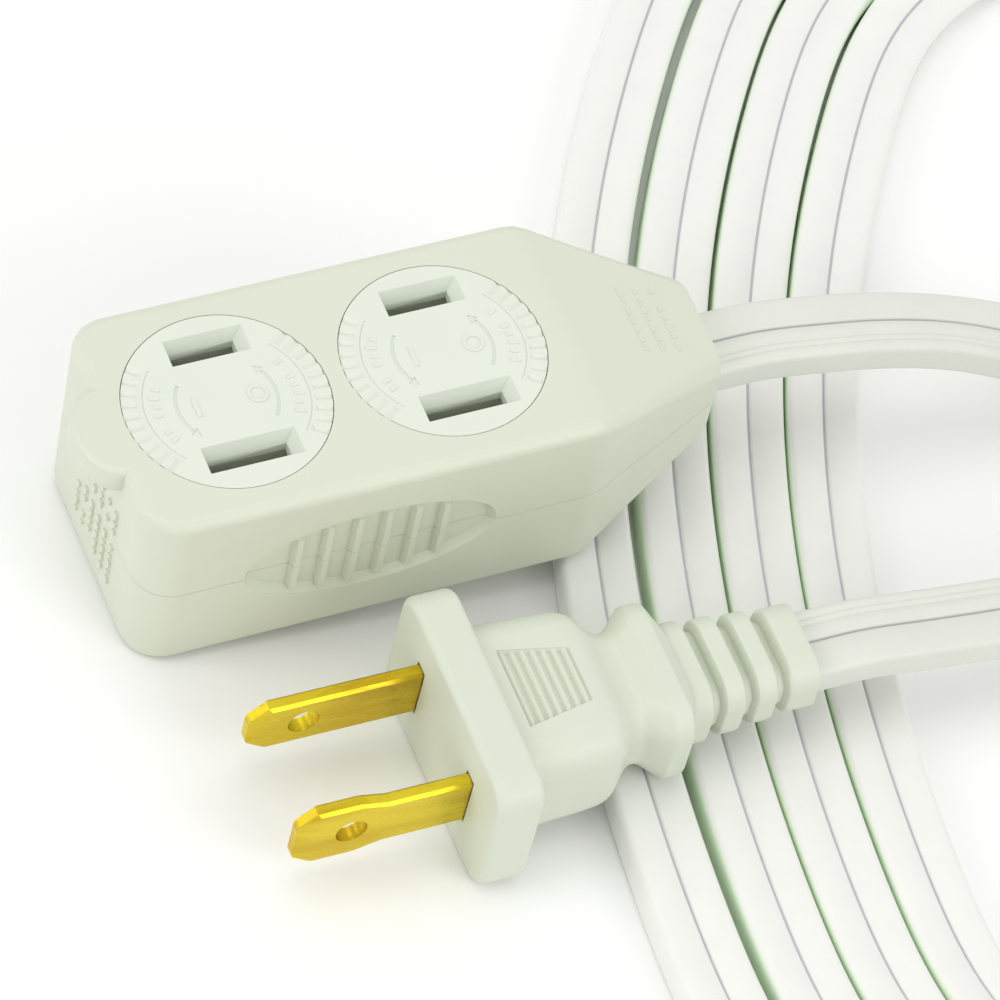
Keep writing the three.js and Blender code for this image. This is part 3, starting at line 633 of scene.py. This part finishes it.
def spline(route, spacing):
    """A smooth curve through the route, in steps of about that spacing."""
    values = [Vector((*point, twist)) for point, twist in route]
    values = [values[0] * 2 - values[1]] + values + [values[-1] * 2 - values[-2]]
    line = []
    for i in range(1, len(values) - 2):
        before, start, end, after = values[i - 1:i + 3]
        steps = max(1, round((end - start).to_3d().length / spacing))
        pairs = ((before, start), (start, end), (end, after))
        first, here, last = [max((b - a).to_3d().length, 1e-6) for a, b in pairs]
        leave = ((end - start) - (end - before) * (here / (first + here))
                 + (start - before) * (here / first))
        arrive = ((end - start) - (after - start) * (here / (here + last))
                  + (after - end) * (here / last))
        for k in range(steps):
            t = k / steps
            line.append(
                start * (2 * t ** 3 - 3 * t ** 2 + 1) + end * (3 * t ** 2 - 2 * t ** 3)
                + leave * (t ** 3 - 2 * t ** 2 + t) + arrive * (t ** 3 - t ** 2)
            )
    line.append(values[-2])
    return line


def averaged(line, spread, ends):
    """Each point moved to the mean of those near it, but for the line's two ends."""
    reach = 3 * spread
    weights = [math.exp(-0.5 * (k / spread) ** 2) for k in range(-reach, reach + 1)]
    total = sum(weights)
    out = []
    for i, value in enumerate(line):
        share = smooth((min(i, len(line) - 1 - i) - 5) / ends)
        if share == 0:
            out.append(value)
            continue
        near = [line[min(max(i + k, 0), len(line) - 1)] for k in range(-reach, reach + 1)]
        mean = near[0] * 0
        for weight, point in zip(weights, near):
            mean += point * (weight / total)
        out.append(value * (1 - share) + mean * share)
    return out


def eased(line, spread, ends):
    """The line with its kinks rounded off, as stiffness does, and its wide bends kept."""
    once = averaged(line, spread, ends)
    twice = averaged(once, spread, ends)
    return [2 * first - second for first, second in zip(once, twice)]


def cord_section():
    """The flat cord's section, anticlockwise, as (across, up, shade value).

    The shade value is 0 in a groove, where grey shade is painted, 1 on an edge, where the shade of the gap between
    turns is painted, and 0.5 elsewhere. Two thin ribs mark one wire.
    """
    half_width, half_thick = CORD_WIDTH / 2 + CORD_FULLNESS, CORD_THICK / 2
    corner = CORNER
    groove, depth = 0.36, 0.4
    ribs = [(-2.72, 0.0), (-2.56, 0.13), (-2.4, 0.0), (-2.02, 0.0), (-1.86, 0.13), (-1.7, 0.0)]
    right_top = arc(corner, 0, 90, 5, (half_width - corner, half_thick - corner))
    left_top = arc(corner, 90, 180, 5, (corner - half_width, half_thick - corner))
    left_low = arc(corner, 180, 270, 5, (corner - half_width, corner - half_thick))
    right_low = arc(corner, 270, 360, 5, (half_width - corner, corner - half_thick))
    dip = [(groove, 0), (groove * 0.5, 0.13), (0.08, depth)]
    dip += [(-x, down) for x, down in reversed(dip)]
    top = [(x, half_thick - d) for x, d in dip]
    top += [(x, half_thick - d) for x, d in reversed(ribs) if x > corner - half_width]
    low = [(-x, d - half_thick) for x, d in dip]
    points = right_top + top + left_top + left_low + low + right_low
    section = []
    for point in points:
        if not section or math.dist(point, section[-1]) > 1e-3:
            section.append(point)
    if math.dist(section[0], section[-1]) < 1e-3:
        section.pop()
    # Each point gets a painted shade value: 0 in the groove, rising to 1 at the cord's edges.
    with_painted_shade = []
    for x, y in section:
        side = 0.5 + 0.5 * smooth((abs(x) - half_width + 0.45) / 0.4)
        with_painted_shade.append((x, y, 0 if abs(x) < 0.1 else side))
    return with_painted_shade


def tail_shares(line):
    """1 near the tap and the plug, 0 in the coil."""
    steps = [0]
    for before, after in zip(line, line[1:]):
        steps.append(steps[-1] + (after.to_3d() - before.to_3d()).length)
    return [smooth((95 - min(s, steps[-1] - s)) / 35) for s in steps]


def painted_shade_values(line, section):
    """Painted shade values point by point: grooves keep their painted shade everywhere, and only edges that face
    another flat turn get the painted shade of the gap.
    """
    painted_shades = []
    for value in line:
        flat = 1 - smooth(abs(value[3] - 180) / 50)
        slot = (math.dist(value[:2], ARC_CENTRE) - ARC_RADIUS) / FLAT_PITCH
        for x, _, painted_shade in section:
            alone = slot < 0.5 if x < 0 else slot > TURNS - 1.5
            painted_shades.append(min(painted_shade, 0.5) + max(painted_shade - 0.5, 0) * (0 if alone else flat))
    return painted_shades


def add_cord():
    """The whole cord as one piece, and its centre line in metres."""
    line = eased(spline(cord_route(), 1.6), 5, 12)
    section = cord_section()
    rings = []
    for i, value in enumerate(line):
        point = value.to_3d()
        ahead = line[min(i + 1, len(line) - 1)].to_3d()
        behind = line[max(i - 1, 0)].to_3d()
        along = (ahead - behind).normalized()
        side = Vector((0, 0, 1)).cross(along).normalized()
        up = along.cross(side)
        twist = math.radians(value[3])
        across = side * math.cos(twist) + up * math.sin(twist)
        thick = up * math.cos(twist) - side * math.sin(twist)
        rings.append([tuple((point + across * x + thick * y) * MM) for x, y, _ in section])
    cord = solid("cord", skin(rings))
    # Painted shade per point: grey in grooves, green grey on edges in the gaps between turns.
    edge = cord.data.attributes.new("edge", "FLOAT", "POINT")
    edge.data.foreach_set("value", painted_shade_values(line, section))
    tail = cord.data.attributes.new("tail", "FLOAT", "POINT")
    tail.data.foreach_set("value", [near for near in tail_shares(line) for _ in section])
    cord.data.shade_smooth()
    cord.data.set_sharp_from_angle(angle=math.radians(60))
    cord.data.materials.append(CORD)
    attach(cord, "cord_set")
    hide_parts("cord_from_tap", "cord_coil", "cord_to_plug")
    return cord, [tuple(value.to_3d() * MM) for value in line]


# ---- the tap -----------------------------------------------------------------------------------


def tap_rings():
    """Sections from the closed end to the cord end, with round corners and edges."""
    half = TAP_WIDTH / 2
    rings = []
    corner_steps = 9
    for i in range(corner_steps + 1):
        angle = math.radians(90 * i / corner_steps)
        x = TAP_CORNER * (1 - math.cos(angle))
        width = half - TAP_CORNER * (1 - math.sin(angle))
        near = max(0, TAP_EDGE - x)
        edge = TAP_EDGE - math.sqrt(max(0, TAP_EDGE ** 2 - near ** 2))
        radius = max(0.25, TAP_EDGE - edge * 0.8)
        rings.append(rounded_ring(x, width, edge, TAP_HEIGHT - edge, radius))
    soft = 1.2
    rings.append(rounded_ring(TAP_BODY - soft, half, 0, TAP_HEIGHT, TAP_EDGE))

    def nose(x, shrink=0.0):
        share = (x - TAP_BODY) / (TAP_LENGTH - TAP_BODY)
        width = mix(half, NOSE_END_WIDTH / 2, share)
        return rounded_ring(
            x, width - shrink, NOSE_RISE * share + shrink, TAP_HEIGHT - NOSE_TOP_DROP * share - shrink,
            mix(TAP_EDGE, 2.2, smooth(share * 1.6)) - shrink * 0.5,
        )

    low = nose(TAP_BODY + soft)
    shoulder = rounded_ring(TAP_BODY, half, 0.1, TAP_HEIGHT - 0.1, TAP_EDGE)
    middle = [(x, y * 0.992, z) for x, y, z in shoulder]
    rings += [middle, low, nose(TAP_BODY + 6), nose(TAP_LENGTH - 5), nose(TAP_LENGTH - 0.7)]
    rings += [nose(TAP_LENGTH - 0.2, 0.22), nose(TAP_LENGTH, 0.7)]
    return rings


def tap_cavity():
    """The room inside the tap, which narrows to a throat for the cord."""
    half = TAP_WIDTH / 2 - TAP_WALL
    throat, level = CORD_WIDTH / 2 + 0.3, CORD_THICK / 2 + 0.3

    def across(x, width, z_low, z_high):
        return [(x, y, z) for y, z in rectangle(-width, width, z_low, z_high)]

    inside = TAP_LENGTH - TAP_WALL
    return skin([
        across(TAP_WALL, half, DECK, TAP_HEIGHT - DECK),
        across(TAP_BODY - TAP_WALL, half, DECK, TAP_HEIGHT - DECK),
        across(inside, throat, CORD_LEVEL - level, CORD_LEVEL + level),
        across(TAP_LENGTH + 1, throat, CORD_LEVEL - level, CORD_LEVEL + level),
    ])


def outlet_cuts(x, up):
    """The pocket of a cover disc and the holes in its floor, as two tools' shapes."""
    face = TAP_HEIGHT if up > 0 else 0

    def heights(a, b):
        return sorted((face - up * a, face - up * b))

    pocket = prism(circle(DISC_RADIUS + DISC_GAP, 112, (x, 0)), *heights(-1, POCKET_DEPTH))
    through = heights(POCKET_DEPTH - 0.4, DECK + 0.4)
    across = SLOT_WIDTH / 2 + 0.3
    holes = [prism(circle(HUB_RADIUS + 0.25, 32, (x, 0)), *through)]
    for y, length in ((BLADE_Y, SLOT_LINE), (-BLADE_Y, SLOT_NEUTRAL)):
        reach = length / 2 + 0.3
        holes.append(box(x - reach, x + reach, y - across, y + across, *through))
    return pocket, holes


def side_matrix(side):
    """Drawn X and Y become the tap's X and Z, and height runs out of that side."""
    return Matrix(((1, 0, 0, 0), (0, 0, side, 0), (0, 1, 0, 0), (0, 0, 0, 1)))


def grip_shapes(side):
    """The oval recess, and the upright ribs that stand in it."""
    wall = TAP_WIDTH / 2
    centre = (OUTLET_UNDER, TAP_HEIGHT / 2 + 0.4)

    def oval(shrink):
        across, up = GRIP_LENGTH / 2 - shrink, GRIP_HEIGHT / 2 - shrink
        return [(centre[0] + x * across, centre[1] + y * up) for x, y in circle(1, 72)]

    floor, lip = wall - GRIP_DEPTH, wall - 0.25
    recess = stack([(oval(0.75), floor), (oval(0.25), lip), (oval(-0.3), wall + 0.4)])
    ribs = []
    for i in range(GRIP_RIBS):
        x = centre[0] + (i - (GRIP_RIBS - 1) / 2) * GRIP_PITCH
        share = (x - centre[0]) / (GRIP_LENGTH / 2)
        reach = GRIP_HEIGHT / 2 * math.sqrt(1 - share ** 2) - 0.55
        foot = rectangle(x - 0.58, x + 0.58, centre[1] - reach, centre[1] + reach)
        crown = rectangle(x - 0.3, x + 0.3, centre[1] - reach + 0.25, centre[1] + reach - 0.25)
        ribs.append(stack([(foot, floor - 0.3), (foot, floor + 0.1), (crown, wall - 0.04)]))
    matrix = side_matrix(side)
    return turned(recess, matrix), [turned(rib, matrix) for rib in ribs]


def thumb_tab():
    """Lip on the closed end: a half oval flush with the top, with a softer step below."""
    def oval(shrink):
        return circle(5.2 - shrink, 56, (0.3, 0), (3.6 - shrink) / (5.2 - shrink))

    steps = [(1.7, 4.4), (0.75, 3.7), (0.2, 3.1), (0, 2.6), (0, 1.1), (0.1, 0.6), (0.35, 0.25), (0.8, 0.02)]
    return stack([(oval(shrink), TAP_HEIGHT - drop) for shrink, drop in steps])


BAR_PATTERN = (0.9, 0.55, 1.0, 0.4, 0, 0.8, 1.0, 0.6, 0.95, 0.35, 0.75)


def dashes(columns, rows, pitch, row_pitch, height, width):
    """Rows of short raised bars in the place of moulded marks, centred, lying along X."""
    shapes = []
    for row in range(rows):
        y = (row - (rows - 1) / 2) * row_pitch
        for column in range(columns):
            length = BAR_PATTERN[(row * 5 + column * 3) % len(BAR_PATTERN)]
            if not length:
                continue
            x = (column - (columns - 1) / 2) * pitch
            foot = rectangle(x - length / 2, x + length / 2, y - width / 2, y + width / 2)
            shapes.append(stack([(foot, -0.12), (inset(foot, (x, y), 0.03), height)]))
    return shapes


def tap_form():
    """The whole tap as one solid, hollow, with its pockets and grips."""
    form = solid("tap_top", skin(tap_rings()))
    combine(form, "UNION", thumb_tab())
    combine(form, "DIFFERENCE", tap_cavity())
    for x, up in ((OUTLET_1, 1), (OUTLET_2, 1), (OUTLET_UNDER, -1)):
        pocket, holes = outlet_cuts(x, up)
        combine(form, "DIFFERENCE", pocket)
        combine(form, "DIFFERENCE", *holes)
    for side in (-1, 1):
        recess, ribs = grip_shapes(side)
        combine(form, "DIFFERENCE", recess)
        combine(form, "UNION", *ribs)
    tidy_faces(form)
    soften(form, 0.14)
    return form


def nose_marks():
    """Raised dashes across the slope of the nose's top."""
    slope = math.atan2(NOSE_TOP_DROP, TAP_LENGTH - TAP_BODY)
    at = 56.2
    top = TAP_HEIGHT - NOSE_TOP_DROP * (at - TAP_BODY) / (TAP_LENGTH - TAP_BODY)
    matrix = (Matrix.Translation((at, 0, top)) @ Matrix.Rotation(slope, 4, "Y")
              @ Matrix.Rotation(math.radians(90), 4, "Z"))
    return [turned(dash, matrix) for dash in dashes(7, 3, 1.15, 1.9, 0.12, 0.42)]


def end_marks():
    """Raised dashes on the closed end, those of the upper shell and those of the lower one."""
    matrix = Matrix(((0, 0, -1, 0), (0, 1, 0, -0.6), (1, 0, 0, 9.5), (0, 0, 0, 1)))
    marks = [turned(dash, matrix) for dash in dashes(9, 6, 1.3, 1.75, 0.28, 0.62)]
    middle = TAP_HEIGHT / 2
    upper = [mark for mark in marks if min(v[2] for v in mark[0]) > middle + 0.2]
    under = [mark for mark in marks if max(v[2] for v in mark[0]) < middle - 0.2]
    return upper, under


def add_tap():
    top = tap_form()
    bottom = top.copy()
    bottom.data = top.data.copy()
    bottom.name = "tap_bottom"
    bpy.context.scene.collection.objects.link(bottom)
    middle = TAP_HEIGHT / 2
    wide = (-TAP_WIDTH, TAP_LENGTH + 5, -TAP_WIDTH, TAP_WIDTH)
    combine(top, "INTERSECT", box(*wide, middle + PARTING_GAP / 2, TAP_HEIGHT + 3))
    combine(bottom, "INTERSECT", box(*wide, -3, middle - PARTING_GAP / 2))
    combine(top, "UNION", *nose_marks())
    upper, under = end_marks()
    combine(top, "UNION", *upper)
    combine(bottom, "UNION", *under)
    for obj, node in ((top, "tap_top_shell"), (bottom, "tap_bottom_shell")):
        tidy_faces(obj)
        shade(obj)
        place(obj, TAP, "cord_set", "tap_ivory", IVORY, node)


# ---- the covers --------------------------------------------------------------------------------


def funnel(y, length):
    """A slot's mouth: steep at the front and left, sloped at the back and right."""
    half = SLOT_WIDTH / 2
    foot = rectangle(-length / 2, length / 2, y - half, y + half)
    mouth = rectangle(-length / 2 - 0.15, length / 2 + 0.95, y - half - 0.1, y + half + 0.75)
    over = rectangle(-length / 2 - 0.17, length / 2 + 1.03, y - half - 0.12, y + half + 0.83)
    return stack([(foot, -1.35), (mouth, 0), (over, 0.15)])


def knurls():
    """Short radial notches along two sides of the rim."""
    cuts = []
    count, spread = 10, 8.2
    for centre in (0, 180):
        for i in range(count):
            angle = centre + (i - (count - 1) / 2) * spread
            turn = Matrix.Rotation(math.radians(angle), 4, "Z")
            foot, mouth = rectangle(8.75, 11, -0.1, 0.1), rectangle(8.3, 11, -0.5, 0.5)
            cuts.append(turned(stack([(foot, -0.22), (mouth, 0.02)]), turn))
    return cuts


def engraved_arcs():
    """On two sides a thin line inside the notches, and nearer the middle a curved arrow."""
    cuts = []
    for centre in (0, 180):
        cuts.append(arc_band(7.98, 8.12, centre - 41, centre + 41, -0.07, 0.1, 24))
        cuts.append(arc_band(4.75, 5.1, centre - 36, centre + 30, -0.12, 0.1, 20))
        end = math.radians(centre + 36)
        tip = Matrix.Translation((4.92 * math.cos(end), 4.92 * math.sin(end), 0))
        head = [(-0.5, -0.45), (0.5, -0.45), (0, 0.5)]
        cuts.append(turned(prism(head, -0.12, 0.1), tip @ Matrix.Rotation(end, 4, "Z")))
    return cuts


def cover_signs():
    """Raised signs in the place of words: a ring for open and a bar for closed, with dashes."""
    signs = [turned(hoop(0.75, 1.05, -0.1, 0.12), Matrix.Translation((3.1, 0, 0)))]
    signs.append(box(-3.3, -2.9, -1.1, 1.1, -0.1, 0.12))
    for centre in (0, 180):
        for i in range(7):
            angle = centre + (i - 3) * 8.5
            length = BAR_PATTERN[(i * 3 + centre // 60) % len(BAR_PATTERN)]
            if length:
                turn = Matrix.Rotation(math.radians(angle), 4, "Z")
                signs.append(turned(box(6.5, 6.5 + 0.5 + length * 0.5, -0.16, 0.16, -0.1, 0.1), turn))
    return signs


def cover_solid(name):
    """A cover disc, its face at height 0, with its slots and the shank it turns on."""
    disc = solid(name, prism(circle(DISC_RADIUS, 128), -DISC_THICK, 0))
    for y, length in ((BLADE_Y, SLOT_LINE), (-BLADE_Y, SLOT_NEUTRAL)):
        half = SLOT_WIDTH / 2
        combine(disc, "DIFFERENCE", box(-length / 2, length / 2, y - half, y + half, -DISC_THICK - 1, 1))
        combine(disc, "DIFFERENCE", funnel(y, length))
    tidy_faces(disc)
    soften(disc, 0.12)
    combine(disc, "DIFFERENCE", *knurls())
    combine(disc, "DIFFERENCE", *engraved_arcs())
    combine(disc, "UNION", *cover_signs())
    levels = [(-0.3, -5.9), (0.7, -5.3), (0.7, -4.7), (0, -4.45), (0, -DISC_THICK + 0.4)]
    combine(disc, "UNION", stack([(circle(HUB_RADIUS + more, 32), z) for more, z in levels]))
    tidy_faces(disc)
    shade(disc)
    return disc


def add_covers():
    for number in (1, 2, 3):
        joint = JOINTS[f"cover_{number}_turn"]
        disc = cover_solid(f"cover_{number}")
        x_axis = (TAP.to_3x3() @ Vector((1, 0, 0))).normalized()
        matrix = frame_matrix(joint["pos_m"], x_axis, joint["axis"])
        place(disc, matrix, joint["child"], "cover_white", COVER, f"cover_disc_{number}")


# ---- the plug ----------------------------------------------------------------------------------


def plug_ring(x, width, height, radius):
    return rounded_ring(x, width / 2, -height / 2, height / 2, radius, 8)


def spread_sections(stations, steps):
    """Sections (x, width, height, radius) with smooth ones set between them."""
    sections = []
    values = [Vector(s) for s in stations]
    for i in range(len(values) - 1):
        before, start = values[max(i - 1, 0)], values[i]
        end, after = values[i + 1], values[min(i + 2, len(values) - 1)]
        for k in range(steps):
            t = k / steps
            sections.append(tuple(
                0.5 * (2 * b + (c - a) * t + (2 * a - 5 * b + 4 * c - d) * t * t
                       + (3 * b - a - 3 * c + d) * t ** 3)
                for a, b, c, d in zip(before, start, end, after)
            ))
    sections.append(tuple(values[-1]))
    return sections


def plug_body_sections():
    """From inside the flange to the collar: a full body, a pinched neck and a flared collar."""
    stations = [
        (4.2, 18.2, 13.2, 3.2), (8, 17.9, 12.9, 3.2), (12, 17.6, 12.7, 3.2), (14.2, 17.1, 12.4, 3.2),
        (15.4, 15.8, 11.4, 3.1), (16.4, 13.7, 9.9, 2.9), (17.2, 12.5, 9.1, 2.8), (18, 12.1, 8.8, 2.8),
        (18.8, 12.5, 9.1, 2.9), (19.7, 14.0, 10.1, 3.1), (20.5, 15.4, 10.9, 3.2),
    ]
    return spread_sections(stations, 3)


def collar_sections():
    return [
        (20.4, 15.2, 10.8, 3.2), (20.7, 15.8, 11.2, 3.3), (21.1, 16.0, 11.3, 3.4), (22.2, 16.0, 11.3, 3.4),
        (22.6, 15.7, 11.1, 3.3), (23.3, 13.2, 9.8, 3.3), (23.8, 11.6, 8.8, 3.2), (24.4, 11.2, 8.5, 3.2),
    ]


def relief_sections():
    """Rounded segments with deep grooves between them, a little smaller towards the cord."""
    sections = []
    pitch = (PLUG_LENGTH - RELIEF_START) / RELIEF_SEGMENTS
    form = [(0, 1), (0.03, 0.35), (0.09, 0.07), (0.18, 0),
            (0.53, 0), (0.62, 0.07), (0.68, 0.35), (0.71, 1)]
    for i in range(RELIEF_SEGMENTS):
        width = mix(11.3, 10.0, i / (RELIEF_SEGMENTS - 1))
        height = mix(8.6, 7.4, i / (RELIEF_SEGMENTS - 1))
        start = RELIEF_START + i * pitch
        stretch = 1 if i < RELIEF_SEGMENTS - 1 else 1 / form[-1][0]
        for share, drop in form:
            x = start + pitch * share * stretch
            deep = 0.35 if i == RELIEF_SEGMENTS - 1 and share > 0.5 else 1
            sections.append((x, width - 1.7 * drop * deep, height - 3 * drop * deep, 2.9 - 1.1 * drop))
    return sections


def patch_shapes():
    """The ribbed patch on the body: a sunk field that narrows towards the cord, and its ribs."""
    x0, x1 = 6.3, 13.4
    wide, narrow = 4.5, 3.1
    field = [(x0, -wide), (x1, -narrow), (x1, narrow), (x0, wide)]
    top = 6.42
    cut = stack([(inset(field, (9.8, 0), 0.25), top - 0.6), (field, top - 0.1), (field, top + 1)])
    ribs = []
    count = 7
    for i in range(count):
        x = mix(x0 + 0.55, x1 - 0.5, i / (count - 1))
        reach = mix(wide, narrow, (x - x0) / (x1 - x0)) + 0.1
        rib = [(x + 0.42 * math.cos(math.radians(a)), top - 0.75 + 0.55 * math.sin(math.radians(a)))
               for a in range(0, 181, 20)]
        rib = [(x + 0.42, top - 1.1)] + rib + [(x - 0.42, top - 1.1)]
        ribs.append(skin([[(px, -reach, pz) for px, pz in rib], [(px, reach, pz) for px, pz in rib]]))
    return cut, ribs


def plug_hollow():
    """Room for the inner bridge, the blades' tails and the cord."""
    throat, level = CORD_WIDTH / 2 + 0.2, CORD_THICK / 2 + 0.18
    across = BLADE_THICK / 2 + 0.12
    inner = [box(1.3, 6.5, -8.1, 8.1, -5.1, 5.1), box(6, 13.9, -7.4, 7.4, -3.48, 3.48)]
    outer = [skin([rounded_ring(x, throat, -level, level, 1.3) for x in (13.2, PLUG_LENGTH + 1)])]
    holes = [box(-1, 1.6, s * BLADE_Y - across, s * BLADE_Y + across, -3.3, 3.3) for s in (-1, 1)]
    return inner, outer, holes


def flange_rings():
    """A plate with round corners and round edges."""
    edge = 0.8
    front = []
    for share in (0, 0.33, 0.66, 1):
        angle = math.radians(90 * share)
        front.append((edge * (1 - math.cos(angle)), edge * (1 - math.sin(angle))))
    sides = front + [(FLANGE_THICK - x, drop) for x, drop in reversed(front)]
    return [plug_ring(x, FLANGE_WIDTH - 2 * d, FLANGE_HEIGHT - 2 * d, 2.8 - d) for x, d in sides]


def add_plug():
    plug = solid("plug", skin(flange_rings()))
    combine(plug, "UNION", skin([plug_ring(*s) for s in plug_body_sections()]))
    field, ribs = patch_shapes()
    for turn in (Matrix.Identity(4), Matrix.Rotation(math.pi, 4, "X")):
        combine(plug, "DIFFERENCE", turned(field, turn))
    soften(plug, 0.3, 3, 40)
    for turn in (Matrix.Identity(4), Matrix.Rotation(math.pi, 4, "X")):
        for rib in ribs:
            combine(plug, "UNION", turned(rib, turn))
    combine(plug, "UNION", skin([plug_ring(*s) for s in collar_sections()]))
    combine(plug, "UNION", skin([plug_ring(*s) for s in relief_sections()]))
    inner, outer, holes = plug_hollow()
    for shapes in ([inner[0]], [inner[1]], outer, holes):
        combine(plug, "DIFFERENCE", *shapes)
    tidy_faces(plug)
    shade(plug, 38)
    place(plug, PLUG, "cord_set", "plug_ivory", VINYL, "plug_body")
    return plug


def blade_outline(head):
    """A blade seen from its side, from its root to its tip and back, widening to its head."""
    root, wide = BLADE_WIDTH / 2, head / 2
    upper = [
        (7.8, root), (3.2 - BLADE_HOLE_AT, root), (1.8 - BLADE_HOLE_AT, mix(root, wide, 0.5)),
        (0.4 - BLADE_HOLE_AT, wide), (1.9 - BLADE_LENGTH, wide), (0.2 - BLADE_LENGTH, wide - 1.35),
        (-BLADE_LENGTH, wide - 1.9),
    ]
    return upper + [(x, -z) for x, z in reversed(upper)]


def tip_slope(y, out):
    """A wedge to cut from one face, so that the blade thins towards its tip."""
    half = BLADE_THICK / 2
    rings = []
    for x, near in ((-BLADE_LENGTH - 1, 0.3), (-BLADE_LENGTH + 2.1, half + 0.02)):
        rings.append([(x, y + out * away, z) for away, z in ((near, -6), (2, -6), (2, 6), (near, 6))])
    return skin(rings)


def add_blade(side, name, head):
    """A chamfered blade with a hole near its tip and a narrow tail inside the plug."""
    outline = blade_outline(head)
    y = side * BLADE_Y
    half = BLADE_THICK / 2
    chamfered = inset(outline, (0, 0), BLADE_CHAMFER)
    layers = [(chamfered, y - half), (outline, y - half + BLADE_CHAMFER),
              (outline, y + half - BLADE_CHAMFER), (chamfered, y + half)]
    blade = solid(f"blade_{name}", skin([[(x, at, z) for x, z in points] for points, at in layers]))
    lay = Matrix(((1, 0, 0, -BLADE_HOLE_AT), (0, 0, 1, y), (0, -1, 0, 0), (0, 0, 0, 1)))
    hole = prism(circle(BLADE_HOLE_RADIUS, 40), -half - 0.5, half + 0.5)
    combine(blade, "DIFFERENCE", turned(hole, lay))
    for out in (1, -1):
        combine(blade, "DIFFERENCE", tip_slope(y, out))
    tail = box(7.5, 11.8, y - half, y + half, -1.2, 1.2)
    combine(blade, "UNION", tail)
    tidy_faces(blade)
    shade(blade, 20)
    return place(blade, PLUG, "cord_set", "brass", BRASS, f"plug_blade_{name}")


# ---- the tie -----------------------------------------------------------------------------------


def add_tie():
    """A flat vinyl strap round the coil's far side, its end lying over itself."""
    out = BEND_RADIUS + (TURNS - 1) * EDGE_PITCH / 2
    down = RUN_LENGTHS[2] / 2
    cos, sin = math.cos(RIGHT_SLANT), math.sin(RIGHT_SLANT)
    centre = (TOP_CENTRE[0] + out * cos - down * sin, TOP_CENTRE[1] - out * sin - down * cos)
    half = (TURNS - 2) * EDGE_PITCH / 2 + CORD_THICK / 2

    def sleeve(reach, width, low, high, radius):
        section = [(y, z) for _, y, z in rounded_ring(0, width, low, high, radius)]
        return skin([[(x, y, z) for x, z in section] for y in (-reach, reach)])

    tie = solid("tie", sleeve(4.5, half + 1.0, 0.05, 9.5, 1.7))
    combine(tie, "DIFFERENCE", sleeve(6, half + 0.15, 0.9, 8.7, 1.0))
    end = [(-2.5, 9.35), (-2.5, 10.1), (half + 0.2, 10.1), (half + 0.9, 9.2)]
    combine(tie, "UNION", skin([[(x, y, z) for x, z in end] for y in (-4.2, 4.2)]))
    soften(tie, 0.22, 2, 40)
    shade(tie)
    matrix = (Matrix.Scale(MM, 4) @ Matrix.Translation((centre[0], centre[1], 0))
              @ Matrix.Rotation(-RIGHT_SLANT, 4, "Z"))
    return place(tie, matrix, "cord_set", "tie_black", TIE, "coil_tie")


# ---- pieces carried over from the CAD ------------------------------------------------------------
CARRIED = {
    "line_contact_strip": CONTACT, "neutral_contact_strip": CONTACT,
    "tap_strands_line": COPPER, "tap_strands_neutral": COPPER,
    "plug_strands_line": COPPER, "plug_strands_neutral": COPPER,
    "tap_lead_line": CORD, "tap_lead_neutral": CORD,
    "plug_lead_line": CORD, "plug_lead_neutral": CORD,
    "plug_core": NYLON,
}


def dress_carried():
    for node, material in CARRIED.items():
        for slot in frame["nodes"][node].material_slots:
            slot.material = material


# ---- the floor and the light ---------------------------------------------------------------------


def add_floor():
    floor = solid("floor", prism(rectangle(-1500, 1500, -1500, 1500), -20, 0))
    floor.data.transform(Matrix.Scale(MM, 4))
    material, shader = new_material("pale_floor")
    clouds = noise_node(material, 6, 2)
    colour = ramp_node(material, clouds.outputs["Fac"], [(0.3, grey(0.93)), (0.7, grey(0.945))])
    material.node_tree.links.new(colour.outputs["Color"], shader.inputs["Base Color"])
    shader.inputs["Roughness"].default_value = 0.8
    floor.data.materials.append(material)


def add_light(name, place_at, target, size, power, colour=(1, 1, 1)):
    data = bpy.data.lights.new(name, "AREA")
    data.shape = "DISK"
    data.size = size
    data.energy = power
    data.color = colour
    light = bpy.data.objects.new(name, data)
    bpy.context.scene.collection.objects.link(light)
    aim = (Vector(target) - Vector(place_at)).to_track_quat("-Z", "Y")
    light.matrix_world = Matrix.Translation(place_at) @ aim.to_matrix().to_4x4()


def add_lights():
    middle = (0.03, 0, 0)
    add_light("top", (-0.15, 0.2, 1.3), middle, 0.9, 2.7, (1, 1, 0.99))
    add_light("left", (-1.1, 0.15, 0.7), middle, 0.8, 3.8, (1, 1, 0.98))
    add_light("front", (0.55, -1.0, 0.7), middle, 0.8, 3.8, (1, 1, 0.96))
    world = bpy.data.worlds.new("studio")
    world.use_nodes = True
    background = world.node_tree.nodes["Background"]
    background.inputs["Color"].default_value = (1, 1, 0.99, 1)
    background.inputs["Strength"].default_value = 0.78
    bpy.context.scene.world = world
    bpy.context.scene.view_settings.view_transform = "Standard"


# ---- the scene -----------------------------------------------------------------------------------
add_camera()
cord, cord_line = add_cord()
add_tap()
add_covers()
plug = add_plug()
blades = [add_blade(1, "line", BLADE_WIDTH), add_blade(-1, "neutral", NEUTRAL_HEAD)]
tie = add_tie()
dress_carried()
add_floor()
add_lights()
